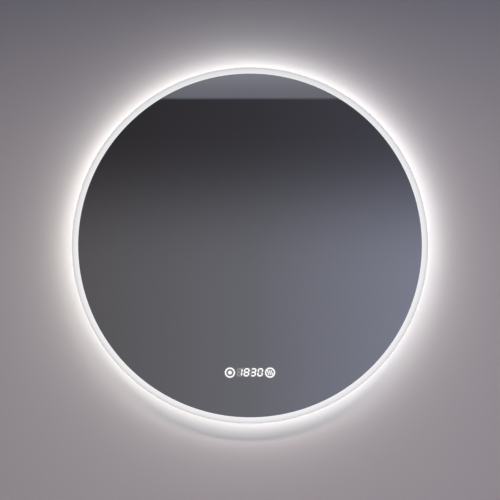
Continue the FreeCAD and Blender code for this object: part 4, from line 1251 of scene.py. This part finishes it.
@dataclass
class HangingPair:
    """The rail on the wall and the rail on the pan that hooks behind it."""

    sheet: float = 2 * MM
    bend_inside: float = 0.6 * MM
    bend_outside: float = 2.6 * MM
    lip_height: float = 12 * MM
    web_height: float = 16 * MM
    hole: float = 5.5 * MM
    holes_at: float = 60 * MM
    slot: float = 14 * MM
    slots_at: float = 100 * MM
    weld: float = 2.4 * MM
    weld_pitch: float = 28 * MM
    weld_count: int = 7

    def rail(self, name: str, low: Vector, high: Vector, back: float, bend: float) -> Piece:
        """A rail with a flat web, a bend outwards and a lip that points up.

        Args:
            name: the object's name.
            low: lowest corner of its box.
            high: highest corner of its box.
            back: y of the web's back.
            bend: z of the top of the bend.

        Returns:
            The rail.
        """
        sheet, lip = self.sheet, low.y
        line = filleted([
            (low.z, back, 0), (bend, back, self.bend_outside), (bend, lip + sheet, self.bend_inside),
            (high.z, lip + sheet, 0), (high.z, lip, 0), (bend - sheet, lip, self.bend_outside),
            (bend - sheet, back - sheet, self.bend_inside), (low.z, back - sheet, 0)], True)
        rail = prism(name, [(low.x, y, z) for z, y in line], (high.x - low.x, 0, 0))
        return softened(rail, 0.2 * MM, 60)

    def build(self) -> None:
        """Makes both rails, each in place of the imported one, and the weld marks on the mirror's."""
        low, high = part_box("wall_rail")
        wall_rail = self.rail("folded_wall_rail", low, high, 0, high.z - self.lip_height)
        for x, across in ((-self.slots_at, self.slot), (-self.holes_at, self.hole),
                          (self.holes_at, self.hole), (self.slots_at, self.slot)):
            outline = long_hole(x, 0, across, self.hole)
            cut(wall_rail, flat_shape("fixing_hole", outline, -1.5 * self.sheet, 2 * self.sheet))
        keep(smoothed(wall_rail), Finishes.zinc, "wall_rail", body="wall_rail")
        low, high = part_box("hook_rail")
        web = low.z + self.web_height
        keep(self.rail("folded_hook_rail", low, high, high.y, web), Finishes.zinc, "hook_rail")
        self.welds(low.y + self.sheet, (web + high.z) / 2)

    def welds(self, face: float, z: float) -> None:
        """Makes the spot welds along the mirror's rail, as shallow dished marks.

        Args:
            face: y of the face that they are on.
            z: their height.
        """
        weld, raised, sunk = self.weld, face + 0.12 * MM, face - 0.1 * MM
        ring = [(0, face), (weld * 0.7, face), (weld * 0.85, raised), (weld, raised),
                (weld * 1.1, face), (weld * 1.1, sunk), (0, sunk)]
        first = turned("spot_weld", ring, (-self.weld_pitch * (self.weld_count - 1) / 2, 0, z), 24)
        marks = [first] + [copied(first, "spot_weld", (self.weld_pitch * k, 0, 0))
                           for k in range(1, self.weld_count)]
        keep(smoothed(joined("rail_spot_welds", marks)), Finishes.screw)


@dataclass
class Bumpers:
    """Two rubber bumpers with a rounded edge and a dished face."""

    edge: float = 1.5 * MM
    dish: float = 0.8 * MM

    def build(self) -> None:
        """Makes one bumper and copies it."""
        low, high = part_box("wall_bumpers")
        radius, floor = (high.z - low.z) / 2, high.y - self.dish
        profile = filleted([(0, floor, 0), (radius * 0.45, floor, 1 * MM),
                            (radius * 0.6, high.y, 0.8 * MM), (radius, high.y, self.edge),
                            (radius, low.y, 0), (0, low.y, 0)])
        first = turned("bumper", profile, (low.x + radius, 0, centre("wall_bumpers")[1]))
        second = copied(first, "bumper", (high.x - low.x - 2 * radius, 0, 0))
        keep(smoothed(joined("rubber_bumpers", [first, second])), Finishes.rubber, "wall_bumpers")


@dataclass
class MainsEntry:
    """The access plate, its cross-recess screw and the grommet of the mains cable."""

    head: float = 1.8 * MM
    shank: float = 1.5 * MM
    thread_pitch: float = 0.5 * MM
    recess: Pair = (3.0 * MM, 0.7 * MM)
    bore: float = 4 * MM

    def build(self) -> None:
        """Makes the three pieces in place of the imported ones."""
        keep(refined("access_plate", 0.25 * MM), Finishes.white_steel, "access_plate")
        self.screw()
        self.grommet()

    def screw(self) -> None:
        """The screw: a pan head with a cross recess, over a thread with fine turns."""
        low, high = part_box("access_screw")
        (x, z), radius, shank = centre("access_screw"), (high.x - low.x) / 2, self.shank
        under = high.y - self.head
        profile = filleted([(0, high.y, 0), (radius - 0.3 * MM, high.y, 0.8 * MM),
                            (radius, high.y - 1 * MM, 0.3 * MM), (radius, under, 0), (shank, under, 0)])
        for k in range(int((under - low.y - 0.6 * MM) / self.thread_pitch)):
            y = under - 0.3 * MM - k * self.thread_pitch
            profile += [(shank, y), (shank - 0.25 * MM, y - self.thread_pitch / 2)]
        profile += [(shank - 0.4 * MM, low.y), (0, low.y)]
        screw = turned("cross_recess_screw", profile, (x, 0, z), 40)
        for wide, tall in (self.recess, self.recess[::-1]):
            recess = block("recess", (x - wide / 2, high.y - 1.1 * MM, z - tall / 2),
                           (x + wide / 2, high.y + 1 * MM, z + tall / 2))
            cut(screw, softened(recess, 0.15 * MM))
        keep(smoothed(screw), Finishes.screw, "access_screw")

    def grommet(self) -> None:
        """The grommet, with round lips and a bore."""
        low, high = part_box("cable_grommet")
        (x, z), lip, bore = centre("cable_grommet"), (high.x - low.x) / 2, self.bore
        plate, waist = high.y - self.head, lip - 2 * MM
        line = filleted([(bore, high.y, 0.7 * MM), (lip, high.y, 1 * MM), (lip, plate, 0.2 * MM),
                         (waist, plate, 0.1 * MM), (waist, low.y, 0.8 * MM), (bore, low.y, 0.7 * MM)], True)
        ring = turned("round_grommet", line + line[:1], (x, 0, z))
        keep(smoothed(ring), Finishes.rubber, "cable_grommet")


@dataclass
class LightPackages:
    """The light packages: a white housing with a phosphor window, modelled once and copied round."""

    disc: Disc
    count: int = 61
    size: float = 5 * MM
    foot: float = 269.05 * MM
    window: float = 3.8 * MM

    def build(self) -> None:
        """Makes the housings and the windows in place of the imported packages."""
        low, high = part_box("led_packages")
        top, y, z = max(-low.x, high.x), (low.y + high.y) / 2, self.disc.middle.z
        for name, size, foot, head, rounding, finish in (
                ("housing", self.size, self.foot, top - 0.1 * MM, 0.2 * MM, Finishes.white_plastic),
                ("window", self.window, top - 0.3 * MM, top - 0.02 * MM, 0.1 * MM, Finishes.phosphor)):
            half = size / 2
            first = softened(block(name, (foot, y - half, z - half), (head, y + half, z + half)), rounding)
            ring = [first] + [self.turned_copy(first, k) for k in range(1, self.count)]
            keep(joined(f"led_{name}s", ring), finish, "led_packages")

    def turned_copy(self, first: Piece, k: int) -> Piece:
        """A copy, turned round the disc's axis.

        Args:
            first: the piece to copy.
            k: how many places it is turned.

        Returns:
            The copy.
        """
        piece = copied(first, first.name, (0, 0, 0))
        middle = self.disc.middle
        turn = Matrix.Rotation(math.tau * k / self.count, 4, "Y")
        piece.data.transform(Matrix.Translation(middle) @ turn @ Matrix.Translation(-middle))
        return piece


@dataclass
class MouldedPieces:
    """The moulded and folded pieces inside the pan, with rounded edges.

    Attributes:
        edges: how far the edges of each are rounded.
    """

    edges: dict[str, float] = field(default_factory=lambda: {
        "terminal_box": 0.5 * MM, "cord_clamp": 0.5 * MM, "terminal_block": 0.3 * MM,
        "led_driver": 0.6 * MM, "module_housing": 0.4 * MM, "module_lid": 0.3 * MM,
        "touch_light_guides": 0.3 * MM, "module_board": 0.15 * MM, "module_socket": 0.3 * MM,
        "module_plug": 0.3 * MM, "strip_joint": 0.4 * MM, "strip_bush": 0.4 * MM,
        "strip_lead_clip": 0.2 * MM, "module_lead_clip": 0.2 * MM, "upper_stiffener": 0.3 * MM,
        "lower_stiffener": 0.3 * MM, "demister_tab": 0.4 * MM})

    def build(self) -> None:
        """Makes a finer copy of each."""
        for node, width in self.edges.items():
            keep(refined(node, width), BY_NODE[node], node)


def dress_packed_nodes() -> None:
    """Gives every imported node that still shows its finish."""
    for name, finish in BY_NODE.items():
        node = frame["nodes"][name]
        if not node.hide_render:
            finish.dress(node)


# ------------------------------------------------------------------------------------- the studio


@dataclass(frozen=True)
class WallPaint(Finish):
    """Pale wall paint, seen from the front only, so that the mirror's back can be looked at through it."""

    colour: Colour = (0.60, 0.585, 0.59)

    def paint(self, graph: Graph) -> None:
        """Matt paint that is clear from behind.

        Args:
            graph: the material's nodes.
        """
        tone = graph.mix(graph.noise(1.5, 2), self.colour, shade(self.colour, 1.03))
        paint = graph.add("ShaderNodeBsdfDiffuse", {"Color": tone})
        behind = graph.add("ShaderNodeNewGeometry").outputs["Backfacing"]
        graph.end(graph.blend(behind, paint, graph.add("ShaderNodeBsdfTransparent")))


@dataclass(frozen=True)
class FloorPaint(Finish):
    """Plain pale floor, as pale in a dim room as in a lit one, that adds no light of its own to the part.

    Attributes:
        colour: its colour.
        light: how bright the glow is that only the camera sees.
        share: how much of what the camera sees is that glow.
    """

    colour: Colour = (0.50, 0.495, 0.49)
    light: float = 0.8
    share: float = 0.75

    def paint(self, graph: Graph) -> None:
        """A pale, matt, slightly cloudy floor.

        Args:
            graph: the material's nodes.
        """
        tone = graph.mix(graph.noise(2, 2), self.colour, shade(self.colour, 1.04))
        paint = graph.add("ShaderNodeBsdfDiffuse", {"Color": (*self.colour, 1)})
        shown = graph.add("ShaderNodeEmission", {"Color": tone, "Strength": self.light})
        seen = Wire(graph, graph.add("ShaderNodeLightPath").outputs["Is Camera Ray"])
        graph.end(graph.blend(seen * self.share, paint, shown))


@dataclass(frozen=True)
class RoomCard(Finish):
    """What the glass mirrors: a dim room, lighter low down and on the right, and a ceiling above an edge.

    Attributes:
        edge: z of the ceiling's edge on the card.
        foot: z on the card of what the foot of the glass mirrors.
        reach: x on the card of what the side of the glass mirrors.
        gain: makes up for what the glass takes away.
        upper: tone below the ceiling's edge.
        lower: tone that the light grows to.
        fade: share of the height over which it grows.
        left: tint at the left side, against a middle of a half.
        right: tint at the right side.
        ceiling: tone of the ceiling at its edge.
        ceiling_far: tone of the ceiling over the viewer.
        ceiling_reach: height on the card over which the ceiling's tone changes.
        blur: how far the ceiling's edge is blurred to each side.
    """

    edge: float = 0.5
    foot: float = -0.9
    reach: float = 0.8
    gain: float = 1.12
    upper: Colour = (0.034, 0.032, 0.038)
    lower: Colour = (0.13, 0.13, 0.15)
    fade: float = 0.66
    left: Colour = (0.35, 0.33, 0.30)
    right: Colour = (0.75, 0.78, 0.87)
    ceiling: Colour = (0.15, 0.15, 0.18)
    ceiling_far: Colour = (0.24, 0.24, 0.28)
    ceiling_reach: float = 0.16
    blur: float = 8 * MM

    def paint(self, graph: Graph) -> None:
        """Light that grows evenly downwards and to the right, and the ceiling over it.

        Args:
            graph: the material's nodes.
        """
        x, _, z = graph.axes()
        down = z.step(self.edge, self.edge - self.fade * (self.edge - self.foot))
        down = down * down * (down * -2 + 3)
        aside = graph.add("ShaderNodeValToRGB", {0: x / self.reach * 0.5 + 0.5})
        stops = aside.color_ramp.elements
        stops.new(0.5)
        for stop, place, colour in zip(stops, (0, 0.5, 1), (self.left, (0.5, 0.5, 0.5), self.right)):
            stop.position, stop.color = place, (*colour, 1)
        wall = graph.add("ShaderNodeVectorMath", {0: graph.mix(down, self.upper, self.lower), 1: aside},
                         operation="MULTIPLY").outputs[0]
        ceiling = graph.mix(z.step(self.edge, self.edge + self.ceiling_reach),
                            self.ceiling, self.ceiling_far)
        colour = graph.mix((z - self.edge).step(-self.blur, self.blur),
                           graph.scaled(wall, 2 * self.gain), ceiling)
        graph.end(graph.add("ShaderNodeEmission", {"Color": colour, "Strength": 1.0}))


@dataclass
class Lamp:
    """A soft studio lamp.

    Attributes:
        name: its name.
        place: where it stands.
        target: what it points at.
        size: its width and height.
        power: its power in watts.
        colour: its colour.
        mirrored: whether gloss and mirrors show it.
    """

    name: str
    place: Sequence[float]
    target: Sequence[float]
    size: Pair
    power: float
    colour: Colour
    mirrored: bool = False

    def build(self) -> Piece:
        """Makes the lamp, which the camera doesn't see.

        Returns:
            The lamp.
        """
        data = bpy.data.lights.new(self.name, "AREA")
        data.shape = "RECTANGLE"
        data.size, data.size_y = self.size
        data.energy = self.power
        data.color = self.colour
        lamp = bpy.data.objects.new(self.name, data)
        bpy.context.scene.collection.objects.link(lamp)
        lamp.location = self.place
        aim = Vector(self.target) - Vector(self.place)
        lamp.rotation_euler = aim.to_track_quat("-Z", "Y").to_euler()
        lamp.visible_camera = False
        lamp.visible_glossy = self.mirrored
        return lamp


@dataclass
class Halo:
    """Light that spills from the rim onto the wall, as two rings of thin lamps.

    Attributes:
        disc: where the disc is.
        light: how bright the ring is that lights the wall outside the disc.
        gap_light: how bright the ring is that lights the wall behind the disc, through the gap.
        count: lamps in a ring.
        off: how far outside the rim the lamps are.
        near: y of the end of a lamp that is beside the wall.
        far: y of the other end, in the ring that lights the wall outside the disc.
        gap: y of the other end, in the ring that lights the wall behind the disc.
        colour: the colour of the light.
    """

    disc: Disc
    light: float = 2.8
    gap_light: float = 0.9
    count: int = 32
    off: float = 1.5 * MM
    near: float = -1 * MM
    far: float = -30 * MM
    gap: float = -9.5 * MM
    colour: Colour = (1.0, 1.0, 0.965)

    def build(self) -> None:
        """Makes both rings."""
        self.ring("halo", self.light, self.far, 1)
        self.ring("gap", self.gap_light, self.gap, -1)

    def ring(self, name: str, light: float, far: float, side: int) -> None:
        """Makes one ring of lamps.

        Args:
            name: what its lamps are called.
            light: how bright they are.
            far: the end of a lamp that is away from the wall.
            side: 1 where the lamps face away from the disc's axis, -1 where they face it.
        """
        radius = self.disc.rim_radius + self.off
        size = (math.tau * radius / self.count, self.near - far)
        power = light * math.pi * size[0] * size[1]
        for k in range(self.count):
            turn = math.tau * (k + 0.5) / self.count
            away = Vector((math.cos(turn), 0, math.sin(turn)))
            place = self.disc.middle + away * radius + Vector((0, (self.near + far) / 2, 0))
            ahead = away * side
            lamp = Lamp(f"{name}_{k:02d}", place, place + ahead, size, power, self.colour).build()
            axes = Matrix((ahead.cross(Vector((0, 1, 0))), (0, 1, 0), -ahead)).transposed()
            lamp.rotation_euler = axes.to_euler()


@dataclass
class Studio:
    """The wall, the floor, the lamps, what the glass mirrors, and the camera.

    Attributes:
        disc: where the disc is.
        disc_pixels: the rim's width in the photograph.
        centre_row: the row of the disc's centre in the photograph.
        ceiling_row: the row of the mirrored ceiling's edge in the photograph.
        distance: camera to the front of the glass.
        card_distance: card that the glass mirrors to the wall.
    """

    disc: Disc
    disc_pixels: float = 356.7
    centre_row: float = 245.48
    ceiling_row: float = 98.5
    distance: float = 2.4
    card_distance: float = 4.2
    floor_drop: float = 1.1
    sensor: float = 36

    def pixel(self) -> float:
        """The size of a pixel on the plane of the glass."""
        return 2 * self.disc.rim_radius / self.disc_pixels

    def camera(self) -> Vector:
        """Makes the camera, square to the glass.

        Returns:
            Its place.
        """
        up = self.disc.middle.z - (IMAGE_SIDE / 2 - self.centre_row) * self.pixel()
        place = Vector((self.disc.middle.x, self.disc.glass_front - self.distance, up))
        data = bpy.data.cameras.new("camera")
        data.sensor_width = self.sensor
        data.lens = self.sensor * self.distance / (IMAGE_SIDE * self.pixel())
        camera = bpy.data.objects.new("camera", data)
        camera.location = place
        camera.rotation_euler = (math.pi / 2, 0, 0)
        bpy.context.scene.collection.objects.link(camera)
        bpy.context.scene.camera = camera
        return place

    def sheet(self, size: Pair, place: Point, tilt: float, name: str, finish: Finish) -> Piece:
        """A flat stage piece.

        Args:
            size: its two sides.
            place: its middle.
            tilt: its turn about X, in radians.
            name: its name.
            finish: what it wears.

        Returns:
            The piece.
        """
        select_only(None)
        bpy.ops.mesh.primitive_plane_add(size=1, location=place, rotation=(tilt, 0, 0))
        obj = named(name)
        obj.scale = (*size, 1)
        settled(obj)
        finish.dress(obj)
        return obj

    def backdrop(self) -> None:
        """Makes the wall and the floor."""
        floor_z = self.disc.middle.z - self.floor_drop
        wall = self.sheet((9, 4), (0, 0.3 * MM, floor_z + 2), math.pi / 2, "stage_wall",
                          WallPaint("wall_paint", ""))
        wall.visible_shadow = False
        self.sheet((14, 14), (0, 0, floor_z), 0, "stage_floor", FloorPaint("floor_paint", ""))

    def room(self, camera: Vector) -> None:
        """Makes the card that the glass mirrors.

        Args:
            camera: the camera's place.
        """
        growth = (self.distance + self.card_distance + self.disc.glass_front) / self.distance
        edge = camera.z + growth * (IMAGE_SIDE / 2 - self.ceiling_row) * self.pixel()
        foot = camera.z + growth * (self.disc.middle.z - self.disc.glass_radius - camera.z)
        card = self.sheet((6, 4), (0, -self.card_distance, self.disc.middle.z), -math.pi / 2, "stage_room",
                          RoomCard("room_card", "", edge, foot, growth * self.disc.glass_radius))
        for ray in ("camera", "diffuse", "shadow", "transmission"):
            setattr(card, f"visible_{ray}", False)

    def lamps(self) -> None:
        """Makes the soft light: one lamp from above, a fill from the side, and two behind for the back."""
        z = self.disc.middle.z
        for lamp in (
                Lamp("ceiling_lamp", (0, -1.0, z + 0.49), (0, -1.0, z - 1), (0.6, 0.12), 10.4,
                     (1.0, 0.855, 0.805)),
                Lamp("side_fill", (3.5, -3.0, z), (0.3, 0, z), (2.4, 2.4), 33, (0.60, 0.61, 0.96)),
                Lamp("back_fill", (-1.4, 2.0, z + 1.0), (0, 0, z), (1.6, 1.6), 34,
                     (1.0, 0.99, 0.97), True),
                Lamp("back_floor", (0, 2.0, z + 1.6), (0, 1.4, z - 1.1), (2.4, 2.4), 70,
                     (1.0, 0.99, 0.98), True)):
            lamp.build()
        Halo(self.disc).build()

    def world(self) -> None:
        """Makes an even surround, pale to the camera, that lights the part only weakly."""
        world = bpy.data.worlds.new("surround")
        world.use_nodes = True
        bpy.context.scene.world = world
        graph = Graph(world.node_tree)
        rays = graph.add("ShaderNodeLightPath").outputs
        colour = graph.mix(rays["Is Glossy Ray"], (0.037, 0.047, 0.062), (0.22, 0.22, 0.23))
        colour = graph.mix(rays["Is Camera Ray"], colour, (0.60, 0.60, 0.62))
        light = graph.add("ShaderNodeBackground", {"Color": colour, "Strength": 1.0})
        graph.add("ShaderNodeOutputWorld", {"Surface": light})

    def build(self) -> None:
        """Makes the whole studio."""
        place = self.camera()
        self.backdrop()
        self.room(place)
        self.lamps()
        self.world()
        bpy.context.scene.view_settings.view_transform = "Standard"
        log.info("camera at %s", [round(v, 3) for v in place])


def main() -> None:
    """Builds the studio and the mirror's sub-assemblies in order."""
    disc = Disc.packed()
    Studio(disc).build()
    for part in (MirrorGlass(disc), OpalRim(disc), ClockFace(disc), TouchIcons(disc), PanShell(disc),
                 LightPackages(disc), HangingPair(), Bumpers(), MainsEntry(), MouldedPieces()):
        log.info("building %s", type(part).__name__)
        part.build()
    dress_packed_nodes()


if __name__ == "__main__":
    main()
